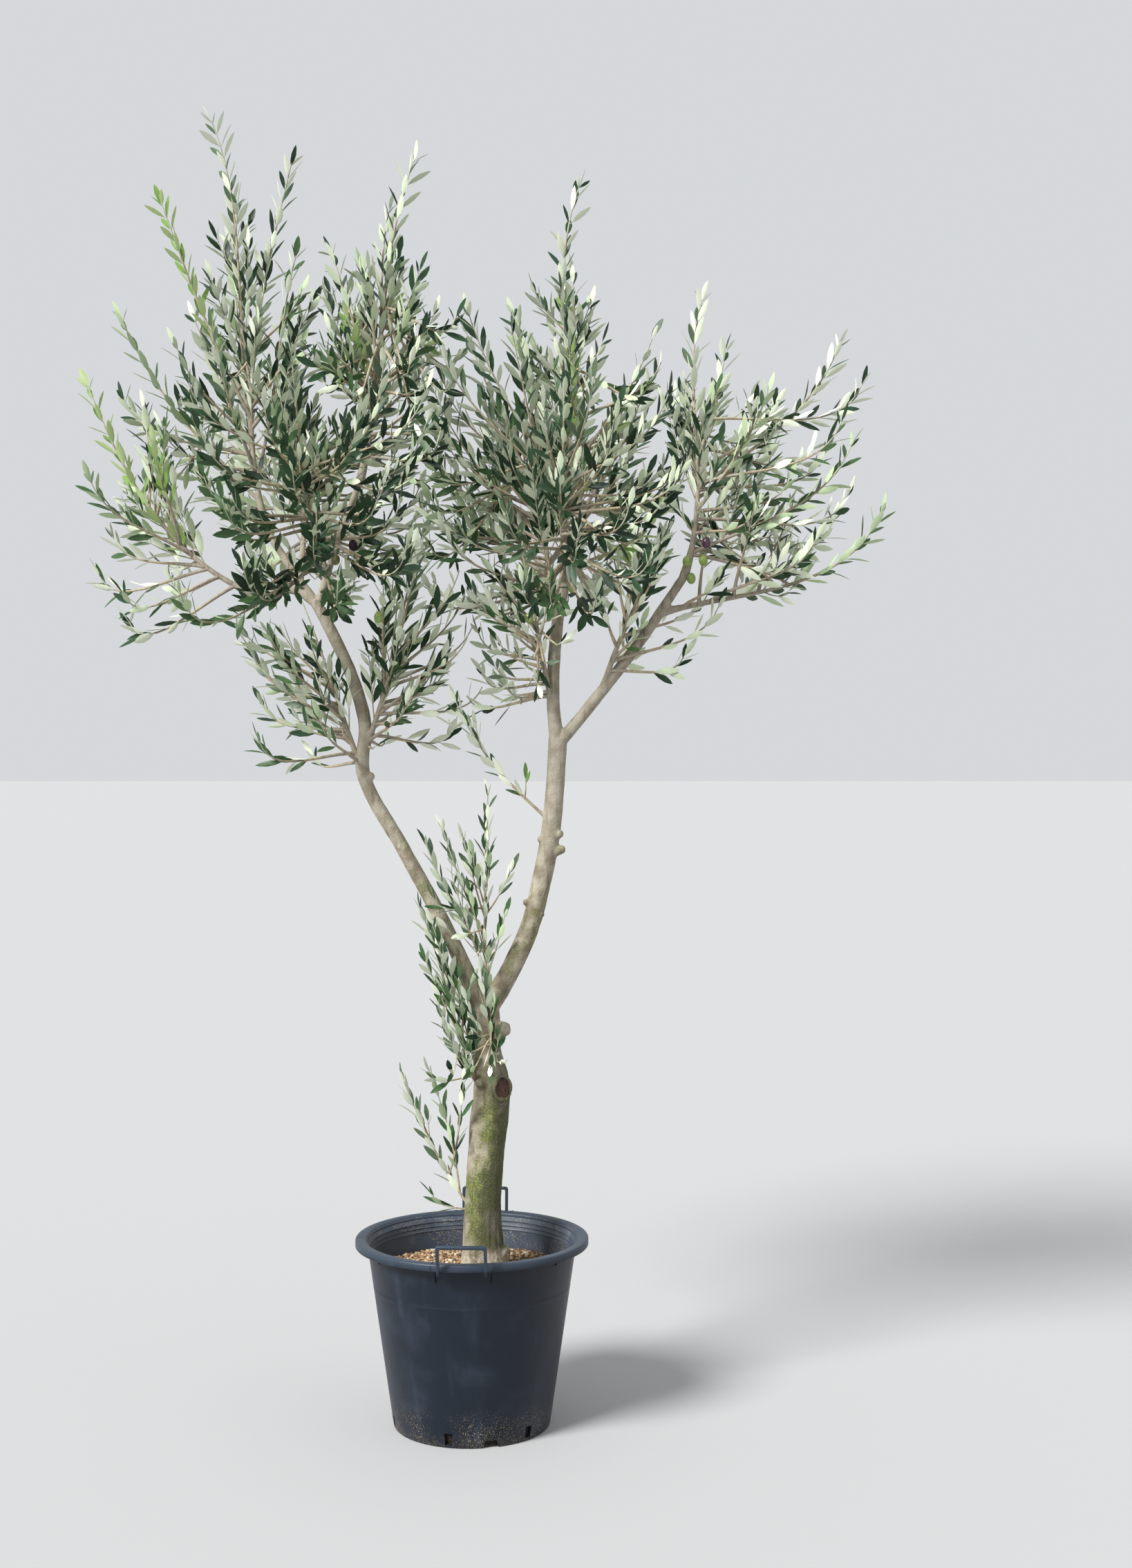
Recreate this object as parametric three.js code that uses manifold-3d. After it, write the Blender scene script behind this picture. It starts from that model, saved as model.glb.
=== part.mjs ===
// An olive tree in a plastic nursery pot.
// Millimetres, +Z up. The origin is the centre of the pot's underside, on the floor.
// The tree is read from the front: -Y is the front, +X is to the right.

import * as THREE from 'three';
import { mergeVertices } from 'three/addons/utils/BufferGeometryUtils.js';
import Module from 'manifold-3d';

const wasm = await Module();
wasm.setup();

// Pot, in millimetres and degrees. Azimuths run from the front towards +X.
const POT_HEIGHT = 365;
const POT_BASE_RADIUS = 153;
const POT_WALL_TOP_RADIUS = 204;
const POT_MOUTH_RADIUS = 207;
const POT_RIM_RADIUS = 228;
const POT_WALL = 4;
const POT_EDGE = 3;
const POT_FLOOR = 5;
const LIP_HEIGHT = 14;
const LIP_THICKNESS = 3.5;
const POT_SIDES = 36;
const NOTCH = { count: 3, azimuth: 16, floorWidth: 33, topWidth: 21, height: 15 };
const WINDOW = { count: 6, azimuth: 46, width: 15, height: 23, sill: 6 };
const POCKET = { width: 10, height: 8, depth: 2, belowLip: 6, besideHandle: 56 };

// The two carrying handles stand in clips under the lip, and the front one leans out.
const HANDLE = { width: 95, height: 60, bar: 6, depth: 7, corner: 5, clip: 6, reach: 17, heel: 2 };
const CORNER_SHARE = 0.3;
const FRONT_HANDLE = { azimuth: -2, lean: 20 };
const REAR_HANDLE = { azimuth: 176, lean: 3 };

const SOIL_LEVEL = 300;
const GAP = 0.3;

// The heights and widths below were read in the upright plane through the pot's axis, from
// this eye. A point in front of that plane or behind it is moved along its line of sight.
const EYE = new THREE.Vector3(184, -3893, 1310);

// Trunk and boughs: each row is x, depth y, height z and radius at one bend of the limb.
const LIMBS = {
  trunk: {
    sides: 14,
    bends: [
      [24, 0, SOIL_LEVEL + GAP, 45], [22, 0, 340, 39], [22, 0, 442, 35], [33, 0, 590, 37],
      [39, 0, 655, 36], [30, 2, 728, 27], [27, 4, 790, 27], [30, 3, 832, 22], [33, 2, 846, 11],
    ],
  },
  bough_left: {
    sides: 8,
    bends: [
      [20, 5, 806, 18], [-47, 12, 959, 15], [-135, 22, 1123, 14], [-211, 28, 1262, 13.5],
      [-211, 31, 1372, 13], [-243, 34, 1480, 12.5], [-307, 38, 1610, 12],
    ],
  },
  bough_left_outer: {
    sides: 8,
    bends: [[-303, 38, 1600, 7.5], [-352, 36, 1629, 7], [-428, 30, 1622, 6]],
  },
  bough_left_top: {
    sides: 8,
    bends: [[-307, 38, 1606, 9], [-348, 44, 1664, 8], [-403, 52, 1746, 7]],
  },
  bough_left_inner: {
    sides: 8,
    bends: [[-301, 38, 1600, 8.5], [-277, 32, 1684, 7.5], [-220, 20, 1844, 6.5]],
  },
  bough_right: {
    sides: 8,
    bends: [
      [29, 3, 812, 22], [67, -2, 871, 20], [116, -8, 980, 19], [151, -14, 1136, 19],
      [163, -18, 1251, 18.5], [168, -20, 1340, 18.5],
    ],
  },
  bough_right_top: {
    sides: 8,
    bends: [[166, -20, 1328, 14], [158, -16, 1440, 12.5], [172, -10, 1600, 12], [204, 0, 1719, 10]],
  },
  bough_right_outer: {
    sides: 8,
    bends: [[172, -20, 1332, 12], [239, -30, 1413, 11.5], [335, -44, 1538, 10.5], [415, -56, 1657, 8]],
  },
};
const RINGS_PER_BEND = 2;

// Root flare: lobes that swell the foot of the trunk and fade out upwards.
const FLARE = { lobes: 3, swell: 0.22, fade: 38, turn: 0.4 };
// A healed stub and a saw cut with its callus ring, both pegs that point out of the trunk.
const STUB = { at: 0.73, azimuth: 78, radius: 11, endRadius: 8, reach: 38 };
const SAW_CUT = { at: 0.5, azimuth: 32, radius: 21, endRadius: 18, reach: 43 };
const BOSS_SIDES = 10;
const BOSS_RISE = 0.12;

// Foliage masses. Each grows from one stem that leaves the limb `on` at the fraction `at`.
// The last tip is the stem's own, and the others are those of its leaders, lowest first.
// `fill` is how many more leaders are dealt evenly through their reach.
const MASSES = {
  leaves_left_outer: {
    on: 'bough_left_outer', at: 1, fill: 1,
    tips: [
      [-690, -70, 1612], [-600, 170, 1690], [-720, 60, 1775], [-765, -80, 1888],
      [-630, -150, 1960], [-640, 160, 2010], [-770, 30, 2072],
    ],
  },
  leaves_left_top: {
    on: 'bough_left_top', at: 1, fill: 1,
    tips: [
      [-704, 50, 2205], [-520, -130, 2190], [-480, 180, 2320], [-626, -40, 2433],
      [-528, 40, 2592], [-343, -10, 2513],
    ],
  },
  leaves_left_inner: {
    on: 'bough_left_inner', at: 1, fill: 1,
    tips: [
      [-50, -120, 1970], [-85, 20, 2060], [-60, 110, 2150], [-300, -40, 2240],
      [-250, 110, 2250], [-205, -90, 2300], [-155, 60, 2410], [-97, -10, 2518],
    ],
  },
  leaves_left_front: {
    on: 'bough_left_inner', at: 0.38, fill: 1,
    tips: [
      [-440, -330, 1710], [-105, -260, 1760], [-540, -270, 1900], [-170, -250, 2060],
      [-360, -250, 2150],
    ],
  },
  leaves_left_back: {
    on: 'bough_left_top', at: 0.4, fill: 1,
    tips: [
      [-230, 335, 1700], [-85, 270, 1830], [-540, 300, 1880], [-130, 260, 2080],
      [-360, 280, 2180],
    ],
  },
  leaves_left_low: {
    on: 'bough_left', at: 0.5, fill: 1,
    tips: [
      [-310, -90, 1420], [-350, 110, 1470], [-455, 0, 1560], [-420, -110, 1600],
      [-350, 20, 1650],
    ],
  },
  leaves_left_low_inner: {
    on: 'bough_left', at: 0.56, fill: 1,
    tips: [
      [-105, -80, 1470], [-60, 90, 1520], [-20, -20, 1580], [-150, 150, 1710],
      [-175, -140, 1690], [3, 20, 1660], [-75, -30, 1760],
    ],
  },
  leaves_right_top: {
    on: 'bough_right_top', at: 1, fill: 1,
    tips: [
      [350, 110, 2060], [150, -110, 2110], [370, -60, 2170], [135, 60, 2210],
      [190, 40, 2290], [226, -10, 2468],
    ],
  },
  leaves_right_inner: {
    on: 'bough_right_top', at: 0.62, fill: 1,
    tips: [
      [-70, -110, 1790], [-40, 150, 1880], [-95, 10, 1950], [60, -150, 1960],
      [-30, -10, 2180], [64, 10, 2211],
    ],
  },
  leaves_right_front: {
    on: 'bough_right_top', at: 0.78, fill: 1,
    tips: [
      [150, -330, 1690], [60, -310, 1830], [400, -300, 1880], [300, -270, 2040],
      [180, -280, 2090],
    ],
  },
  leaves_right_back: {
    on: 'bough_right_top', at: 0.86, fill: 1,
    tips: [
      [240, 330, 1700], [40, 300, 1880], [430, 290, 1900], [330, 280, 2060],
      [190, 290, 2120],
    ],
  },
  leaves_right_outer: {
    on: 'bough_right_outer', at: 1, fill: 1,
    tips: [
      [761, -60, 1957], [600, 170, 1950], [596, -120, 2060], [734, 30, 2149],
      [503, 90, 2140], [464, -10, 2241],
    ],
  },
  leaves_right_side: {
    on: 'bough_right_outer', at: 0.8, fill: 1,
    tips: [
      [500, -110, 1700], [690, -80, 1770], [560, -170, 1850], [640, 80, 1850],
      [819, -20, 1826],
    ],
  },
  leaves_right_low: {
    on: 'bough_right_top', at: 0.22, fill: 1,
    tips: [
      [60, 70, 1480], [30, -60, 1520], [60, 110, 1690], [5, -20, 1680],
      [85, -95, 1750],
    ],
  },
  leaves_right_low_outer: {
    on: 'bough_right_outer', at: 0.4, fill: 0,
    tips: [
      [330, 90, 1560], [500, -60, 1640], [250, -130, 1650], [325, 60, 1770],
      [385, -130, 1775],
    ],
  },
  shoot_middle: {
    on: 'bough_right', at: 0.66, fill: 0,
    tips: [[107, -60, 1293], [-47, -50, 1450]],
  },
  shoots_fork: {
    on: 'trunk', at: 0.93, fill: 0,
    tips: [
      [73, -60, 1030], [-105, -30, 1168], [-72, -55, 1198], [-28, -50, 1176], [30, -50, 1268],
    ],
  },
  shoots_trunk_left: {
    on: 'trunk', at: 0.45, fill: 0,
    tips: [[-60, -80, 800], [-25, -90, 900], [-116, -50, 1043]],
  },
  shoots_trunk_front: {
    on: 'trunk', at: 0.52, fill: 0,
    tips: [[55, -85, 790], [-20, -95, 860], [30, -90, 940]],
  },
  shoot_base: {
    on: 'trunk', at: 0.19, fill: 0,
    tips: [[-92, -20, 480], [-80, -40, 677], [-2, -85, 750], [-150, -10, 707]],
  },
};

// Shoots: the foot of each is bare, and leaves stand on the rest in opposite pairs.
const CROWN = { leaf: 114, leafStep: 150, stemRadius: 6.5, leaderRadius: 5 };
const SHOOT = { leaf: 62, leafStep: 70, stemRadius: 4.6, leaderRadius: 4 };
const TIP_RADIUS = 3.4;
const BARE_SHARE = 0.2;
const BARE_SHARE_AT_TIP = 0.12;
const STEM_STEPS = 6;
const LEADER_STEPS = 3;

// Leaders leave the stem between these fractions of it. `PULL` is how long a shoot keeps
// its first and last direction, and the two spreads turn it away from what carries it.
const LEADERS_FROM = 0.04;
const LEADERS_TO = 0.42;
const ARRIVAL_LEAN = 0.4;
const PULL = 0.36;
const FORK_SPREAD = 0.25;
const SIDE_SPREAD = 0.3;

// Fill leaders stay this far above the stem's foot and below a dome over the whole crown.
const FILL = {
  from: 0.05, to: 0.4, around: 35, least: 60, dome: 2230, slope: 0.2, below: 160, clearance: 40,
};
const EVEN_STEPS = [0.8192, 0.6711, 0.5497];
const FIRST_SEED = 1000;
const SEED_STEP = 77;

// Leaves: a flat blade with a low keel under it, widest short of the middle. The root runs
// through the twig's axis to its far side.
const LEAF_WIDTH_SHARE = 0.25;
const LEAF_KEEL_SHARE = 0.028;
const LEAF_WIDEST = 0.45;
const LEAF_STATIONS = [0.12, 0.3, LEAF_WIDEST, 0.62, 0.8, 1];
const LEAF_ROOT_DEPTH = 1;
const LEAF_LEAN = { least: 28, most: 44 };
const LEAF_LENGTH = { least: 0.85, most: 1.08 };
const END_LEAF = { at: 0.985, lean: 7, length: 0.9, reach: 0.82 };
const FIRST_PAIR = 0.3;

// What a twig or leaf keeps clear: its neighbours' space, the limbs and the pot's rim.
const SPACE_MARGIN = 7;
const LIMB_MARGIN = 2.5;
const RIM_MARGIN = 8;
const SAMPLE_STEP = 24;
const LIMB_SAMPLES = 8;

// Olives hang from the twig that is nearest to the place where they were seen.
const OLIVE = { radius: 9, halfLength: 11, stalk: 14, stalkRadius: 1.8, sink: 2 };
const OLIVE_DROP = { aside: 0.5, forward: 0.6 };
const OLIVE_DEPTH_COST = 0.3;
const OLIVE_STOPS = 12;
const OLIVES = [
  [426, 1715], [446, 1713], [424, 1645], [250, 1818], [299, 1775],
  [-200, 1735], [-267, 1708], [-187, 1666], [108, 1601],
];

// Colours of the real surfaces.
const COLOURS = {
  pot: 0x323c48, handle: 0x363f4a, soil: 0x8a6a48, trunk: 0x8f8a78, bough: 0x9c9686,
  foliage: 0x5f7457, shoot: 0x6f8465,
};

const UP = new THREE.Vector3(0, 0, 1);
const radians = THREE.MathUtils.degToRad;

function sighted([x, y, z]) {
  const scale = (y - EYE.y) / -EYE.y;
  return new THREE.Vector3(EYE.x + (x - EYE.x) * scale, y, EYE.z + (z - EYE.z) * scale);
}

// Seeded draws between two values, so that every mass grows the same way each time.
function drawsFrom(seed) {
  let state = seed;
  return (low, high) => {
    state = (state * 1664525 + 1013904223) % 4294967296;
    return low + (high - low) * state / 4294967296;
  };
}

// A closed three.js geometry as a solid with its faces pointing out.
function solidFrom(geometry) {
  const bare = geometry.index ? geometry.toNonIndexed() : geometry.clone();
  bare.deleteAttribute('normal');
  bare.deleteAttribute('uv');
  const merged = mergeVertices(bare, 1e-4);
  const corners = merged.index.array;
  const triVerts = [];
  for (let i = 0; i < corners.length; i += 3) {
    const [a, b, c] = [corners[i], corners[i + 1], corners[i + 2]];
    if (a !== b && b !== c && c !== a) triVerts.push(a, b, c);
  }
  const vertProperties = new Float32Array(merged.attributes.position.array);
  const build = (order) => new wasm.Manifold(
    new wasm.Mesh({ numProp: 3, vertProperties, triVerts: new Uint32Array(order) }));
  const solid = build(triVerts);
  return solid.volume() > 0 ? solid : build(triVerts.toReversed());
}

function fuse(solids) {
  return solids.reduce((whole, next) => whole.add(next));
}

function cutBy(solid, cutters) {
  return cutters.reduce((rest, cutter) => rest.subtract(cutter), solid);
}

// The main body of a solid, without loose scraps or sealed hollows.
function mainBody(solid) {
  const bodies = solid.decompose();
  return bodies.reduce((largest, body) => (body.volume() > largest.volume() ? body : largest));
}

function meshFrom(solid, name, colour, roughness = 0.6) {
  const { vertProperties, triVerts } = solid.getMesh();
  const geometry = new THREE.BufferGeometry();
  geometry.setAttribute('position', new THREE.BufferAttribute(new Float32Array(vertProperties), 3));
  geometry.setIndex(new THREE.BufferAttribute(new Uint32Array(triVerts), 1));
  geometry.computeVertexNormals();
  const material = new THREE.MeshStandardMaterial({ color: colour, roughness, metalness: 0 });
  const mesh = new THREE.Mesh(geometry, material);
  mesh.name = name;
  return mesh;
}

function turned(profile, sides) {
  const points = profile.map(([radius, height]) => new THREE.Vector2(radius, height));
  return solidFrom(new THREE.LatheGeometry(points, sides).rotateX(Math.PI / 2));
}

// Pot: a turned shell with a flanged rim, drain notches, drain windows and small pockets.
function potInsideRadius(height) {
  const share = height / (POT_HEIGHT - LIP_HEIGHT);
  return POT_BASE_RADIUS - POT_WALL + (POT_WALL_TOP_RADIUS - POT_BASE_RADIUS) * share;
}

function makePot() {
  const lipFoot = POT_HEIGHT - LIP_HEIGHT;
  const shell = turned([
    [0, 0], [POT_BASE_RADIUS - POT_EDGE, 0], [POT_BASE_RADIUS, POT_EDGE],
    [POT_WALL_TOP_RADIUS, lipFoot], [POT_WALL_TOP_RADIUS, POT_HEIGHT - POT_WALL],
    [POT_RIM_RADIUS - LIP_THICKNESS, POT_HEIGHT - POT_WALL],
    [POT_RIM_RADIUS - LIP_THICKNESS, lipFoot], [POT_RIM_RADIUS, lipFoot],
    [POT_RIM_RADIUS, POT_HEIGHT - POT_EDGE], [POT_RIM_RADIUS - POT_EDGE, POT_HEIGHT],
    [POT_MOUTH_RADIUS, POT_HEIGHT], [potInsideRadius(lipFoot), lipFoot],
    [potInsideRadius(POT_FLOOR), POT_FLOOR], [0, POT_FLOOR],
  ], POT_SIDES);
  const cutters = [];
  for (let i = 0; i < NOTCH.count; i += 1) {
    cutters.push(notchCutter(NOTCH.azimuth + i * 360 / NOTCH.count));
  }
  for (let i = 0; i < WINDOW.count; i += 1) {
    cutters.push(windowCutter(WINDOW.azimuth + i * 360 / WINDOW.count));
  }
  for (const { azimuth } of [FRONT_HANDLE, REAR_HANDLE]) {
    for (const side of [-1, 1]) cutters.push(pocketCutter(azimuth + side * POCKET.besideHandle));
  }
  return meshFrom(cutBy(shell, cutters), 'pot', COLOURS.pot, 0.55);
}

// Cutters are far deeper than the wall is thick.
const CUTTER_DEPTH = 20;

function notchCutter(azimuth) {
  const outline = new THREE.Shape([
    new THREE.Vector2(-NOTCH.floorWidth / 2, -1), new THREE.Vector2(NOTCH.floorWidth / 2, -1),
    new THREE.Vector2(NOTCH.topWidth / 2, NOTCH.height),
    new THREE.Vector2(-NOTCH.topWidth / 2, NOTCH.height),
  ]);
  const geometry = new THREE.ExtrudeGeometry(outline, { depth: CUTTER_DEPTH, bevelEnabled: false });
  geometry.rotateX(Math.PI / 2).translate(0, -POT_BASE_RADIUS + CUTTER_DEPTH / 2, 0);
  return solidFrom(geometry.rotateZ(radians(azimuth)));
}

function windowCutter(azimuth) {
  const geometry = new THREE.BoxGeometry(WINDOW.width, CUTTER_DEPTH, WINDOW.height);
  geometry.translate(0, -POT_BASE_RADIUS, WINDOW.sill + WINDOW.height / 2);
  return solidFrom(geometry.rotateZ(radians(azimuth)));
}

function pocketCutter(azimuth) {
  const geometry = new THREE.BoxGeometry(POCKET.width, CUTTER_DEPTH, POCKET.height);
  const height = POT_HEIGHT - LIP_HEIGHT - POCKET.belowLip - POCKET.height / 2;
  const back = potInsideRadius(height) + POT_WALL - POCKET.depth;
  geometry.translate(0, -back - CUTTER_DEPTH / 2, height);
  return solidFrom(geometry.rotateZ(radians(azimuth)));
}

// Soil fills the pot up to its level and keeps a hair's gap from the wall and the floor.
function makeSoil() {
  const foot = POT_FLOOR + GAP;
  const solid = turned([
    [0, foot], [potInsideRadius(foot) - 2 * GAP, foot],
    [potInsideRadius(SOIL_LEVEL) - 2 * GAP, SOIL_LEVEL], [0, SOIL_LEVEL],
  ], POT_SIDES);
  return meshFrom(solid, 'soil', COLOURS.soil, 0.95);
}

// Handle: a flat arch whose two posts end in clips that hook under the lip.
function makeHandle(name, { azimuth, lean }) {
  const { width, height, bar, depth, corner, clip, reach, heel } = HANDLE;
  const half = width / 2;
  const bevel = corner * CORNER_SHARE;
  const arch = new THREE.Shape();
  arch.moveTo(-half, -clip / 2);
  arch.lineTo(-half, height - corner);
  arch.lineTo(-half + bevel, height - bevel);
  arch.lineTo(-half + corner, height);
  arch.lineTo(half - corner, height);
  arch.lineTo(half - bevel, height - bevel);
  arch.lineTo(half, height - corner);
  arch.lineTo(half, -clip / 2);
  arch.lineTo(half - bar, -clip / 2);
  arch.lineTo(half - bar, height - bar);
  arch.lineTo(-half + bar, height - bar);
  arch.lineTo(-half + bar, -clip / 2);
  const lipFoot = POT_HEIGHT - LIP_HEIGHT;
  const plate = new THREE.ExtrudeGeometry(arch, { depth, bevelEnabled: false });
  plate.rotateX(Math.PI / 2).rotateX(radians(lean));
  plate.translate(0, -POT_RIM_RADIUS - GAP, lipFoot);
  const pieces = [solidFrom(plate)];
  for (const side of [-1, 1]) {
    const foot = new THREE.BoxGeometry(bar, reach, clip - GAP);
    foot.translate(side * (half - bar / 2), -POT_RIM_RADIUS - depth / 2 + reach / 2 - heel,
      lipFoot - GAP - (clip - GAP) / 2);
    pieces.push(solidFrom(foot));
  }
  const solid = fuse(pieces);
  const mesh = meshFrom(solid, name, COLOURS.handle, 0.5);
  mesh.rotation.z = radians(azimuth);
  return mesh;
}

// Rings of corners round a path, closed with a flat cap at both ends.
function tube(path, sides, radiusAt, firstHeading = null) {
  const positions = [];
  const corners = [];
  let normal = null;
  path.forEach((point, i) => {
    const before = path[Math.max(i - 1, 0)];
    const after = path[Math.min(i + 1, path.length - 1)];
    const heading = i === 0 && firstHeading ? firstHeading
      : new THREE.Vector3().subVectors(after, before).normalize();
    if (!normal) normal = across(heading)[0];
    normal = normal.clone().addScaledVector(heading, -normal.dot(heading)).normalize();
    const side = new THREE.Vector3().crossVectors(heading, normal);
    for (let k = 0; k < sides; k += 1) {
      const angle = k * 2 * Math.PI / sides;
      const radius = radiusAt(i, angle);
      const corner = point.clone().addScaledVector(normal, radius * Math.cos(angle))
        .addScaledVector(side, radius * Math.sin(angle));
      positions.push(corner.x, corner.y, corner.z);
    }
  });
  for (let i = 0; i < path.length - 1; i += 1) {
    for (let k = 0; k < sides; k += 1) {
      const [a, b] = [i * sides + k, i * sides + (k + 1) % sides];
      corners.push(a, b, b + sides, a, b + sides, a + sides);
    }
  }
  const last = (path.length - 1) * sides;
  for (let k = 1; k < sides - 1; k += 1) {
    corners.push(0, k + 1, k, last, last + k, last + k + 1);
  }
  const geometry = new THREE.BufferGeometry();
  geometry.setAttribute('position', new THREE.BufferAttribute(new Float32Array(positions), 3));
  geometry.setIndex(corners);
  return geometry;
}

// Two directions that are square to a heading and to each other.
function across(heading) {
  const reference = Math.abs(heading.z) < 0.95 ? UP : new THREE.Vector3(1, 0, 0);
  const side = new THREE.Vector3().crossVectors(heading, reference).normalize();
  return [side, new THREE.Vector3().crossVectors(side, heading).normalize()];
}

// A limb's curve, and its radius at any fraction of its length.
function limbShape(limb) {
  const curve = new THREE.CatmullRomCurve3(limb.bends.map(sighted), false, 'catmullrom', 0.5);
  const spans = limb.bends.length - 1;
  const radiusAt = (t) => {
    const span = Math.min(Math.floor(t * spans), spans - 1);
    const share = t * spans - span;
    return limb.bends[span][3] * (1 - share) + limb.bends[span + 1][3] * share;
  };
  return { curve, radiusAt, rings: spans * RINGS_PER_BEND };
}

const limbShapes = Object.fromEntries(
  Object.entries(LIMBS).map(([name, limb]) => [name, limbShape(limb)]));

function flareAt(height, angle) {
  const fade = Math.exp(-(height - SOIL_LEVEL) / FLARE.fade);
  return 1 + FLARE.swell * fade * Math.cos(FLARE.lobes * angle + FLARE.turn);
}

// A limb's solid; `grow` makes it fatter and longer, to cut its neighbours clear of it.
function limbSolid(name, grow = 0) {
  const { curve, radiusAt, rings } = limbShapes[name];
  const path = [];
  for (let i = 0; i <= rings; i += 1) path.push(curve.getPoint(i / rings));
  const ends = [curve.getTangent(0), curve.getTangent(1)];
  path[0].addScaledVector(ends[0], -grow);
  path[rings].addScaledVector(ends[1], grow);
  const isTrunk = name === 'trunk';
  const radius = (i, angle) => {
    const round = radiusAt(i / rings) + grow;
    return isTrunk ? round * flareAt(path[i].z, angle) : round;
  };
  const solid = solidFrom(tube(path, LIMBS[name].sides, radius, isTrunk ? UP : null));
  if (!isTrunk) return solid;
  return fuse([solid, boss(STUB, grow), boss(SAW_CUT, grow)]);
}

// A round boss on the trunk: a short tapered peg that points out at an azimuth.
function boss({ at, azimuth, radius, endRadius, reach }, grow) {
  const centre = limbShapes.trunk.curve.getPoint(at);
  const turn = radians(azimuth);
  const out = new THREE.Vector3(Math.sin(turn), -Math.cos(turn), BOSS_RISE).normalize();
  const end = centre.clone().addScaledVector(out, reach + grow);
  return solidFrom(tube([centre, end], BOSS_SIDES, (i) => [radius, endRadius][i] + grow));
}

const grownLimbs = Object.fromEntries(
  Object.keys(LIMBS).map((name) => [name, limbSolid(name, GAP)]));

function makeLimbs() {
  const names = Object.keys(LIMBS);
  return names.map((name, i) => {
    const earlier = names.slice(0, i).map((other) => grownLimbs[other]);
    const solid = mainBody(cutBy(limbSolid(name), earlier));
    return meshFrom(solid, name, name === 'trunk' ? COLOURS.trunk : COLOURS.bough, 0.85);
  });
}

// Growth. A shoot leaves one way, arrives pointing up, and thins towards its tip.
function makeShoot(start, leave, tip, arrive, thick, thin, steps) {
  const reach = start.distanceTo(tip);
  const curve = new THREE.CubicBezierCurve3(
    start, start.clone().addScaledVector(leave, reach * PULL),
    tip.clone().addScaledVector(arrive, -reach * PULL), tip);
  const path = curve.getPoints(steps);
  const pointAt = (t) => {
    const step = Math.min(Math.floor(t * steps), steps - 1);
    return path[step].clone().lerp(path[step + 1], t * steps - step);
  };
  const headingAt = (t) => {
    const step = Math.min(Math.floor(t * steps), steps - 1);
    return path[step + 1].clone().sub(path[step]).normalize();
  };
  const radiusAt = (t) => thick + (thin - thick) * t;
  return { path, reach, pointAt, headingAt, radiusAt };
}

function arrival(from, to) {
  const flat = new THREE.Vector3(to.x - from.x, to.y - from.y, 0);
  if (flat.length() > 1) flat.normalize();
  return flat.multiplyScalar(ARRIVAL_LEAN).add(UP).normalize();
}

// A leader from a point of the stem towards a tip, short of it by the end leaf's length.
function makeLeader(stem, fraction, tip, kind) {
  const start = stem.pointAt(fraction);
  const arrive = arrival(start, tip);
  const end = tip.clone().addScaledVector(arrive, -kind.leaf * END_LEAF.reach);
  const heading = stem.headingAt(fraction);
  const leave = end.clone().sub(start);
  leave.addScaledVector(heading, -FORK_SPREAD * leave.dot(heading)).normalize();
  const thick = Math.min(kind.leaderRadius, stem.radiusAt(fraction));
  return makeShoot(start, leave, end, arrive, thick, TIP_RADIUS, LEADER_STEPS);
}

function kindOf(name) {
  return name.startsWith('leaves') ? CROWN : SHOOT;
}

// The stem and leaders of one mass.
function startMass(name, mass, seed) {
  const kind = kindOf(name);
  const draw = drawsFrom(seed);
  const limb = limbShapes[mass.on];
  const tips = mass.tips.map(sighted);
  const top = tips.pop();
  const start = limb.curve.getPoint(mass.at);
  const arrive = arrival(start, top);
  const end = top.clone().addScaledVector(arrive, -kind.leaf * END_LEAF.reach);
  const heading = limb.curve.getTangent(mass.at);
  const leave = end.clone().sub(start).normalize();
  if (mass.at === 1) leave.add(heading);
  else leave.addScaledVector(heading, -SIDE_SPREAD * leave.dot(heading));
  leave.normalize();
  const thick = Math.min(kind.stemRadius, limb.radiusAt(mass.at));
  const stem = makeShoot(start, leave, end, arrive, thick, TIP_RADIUS, STEM_STEPS);
  const leaders = tips.map((tip, k) => {
    const fraction = LEADERS_FROM + (LEADERS_TO - LEADERS_FROM) * (k + 0.5) / tips.length;
    return makeLeader(stem, fraction, tip, kind);
  });
  return { name, mass, kind, draw, tips, stem, leaders };
}

function samplesOf(shoot) {
  const count = Math.max(Math.ceil(shoot.reach / SAMPLE_STEP), 3);
  return Array.from({ length: count + 1 }, (_, i) => shoot.pointAt(i / count));
}

function nearest(point, samples) {
  let best = Infinity;
  for (const sample of samples) best = Math.min(best, point.distanceToSquared(sample));
  return Math.sqrt(best);
}

const starts = Object.entries(MASSES).map(([name, mass], i) => (
  startMass(name, mass, FIRST_SEED + SEED_STEP * i)));
const spaces = starts.map(({ stem, leaders }) => [stem, ...leaders].flatMap(samplesOf));

// Fill leaders, lower ones from lower on the stem. One that comes near another mass is left out.
starts.forEach(({ mass, kind, draw, tips, stem, leaders }, own) => {
  const reach = new THREE.Box3().setFromPoints(tips).expandByScalar(FILL.around);
  reach.min.z = Math.min(reach.min.z, stem.path[0].z + FILL.least);
  const size = reach.getSize(new THREE.Vector3());
  const first = draw(0, 1);
  for (let k = 0; k < mass.fill; k += 1) {
    const [x, y, z] = EVEN_STEPS.map((step) => (first + (k + 1) * step) % 1);
    const tip = new THREE.Vector3(x, y, z).multiply(size).add(reach.min);
    const dome = FILL.dome - FILL.slope * Math.abs(tip.x);
    if (tip.z > dome) tip.z = dome - draw(0, FILL.below);
    const leader = makeLeader(stem, FILL.from + (FILL.to - FILL.from) * z, tip, kind);
    const samples = samplesOf(leader);
    const clear = samples.every((point) => spaces.every(
      (space, other) => other === own || nearest(point, space) > FILL.clearance));
    if (clear) {
      leaders.push(leader);
      spaces[own].push(...samples);
    }
  }
});

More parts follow.
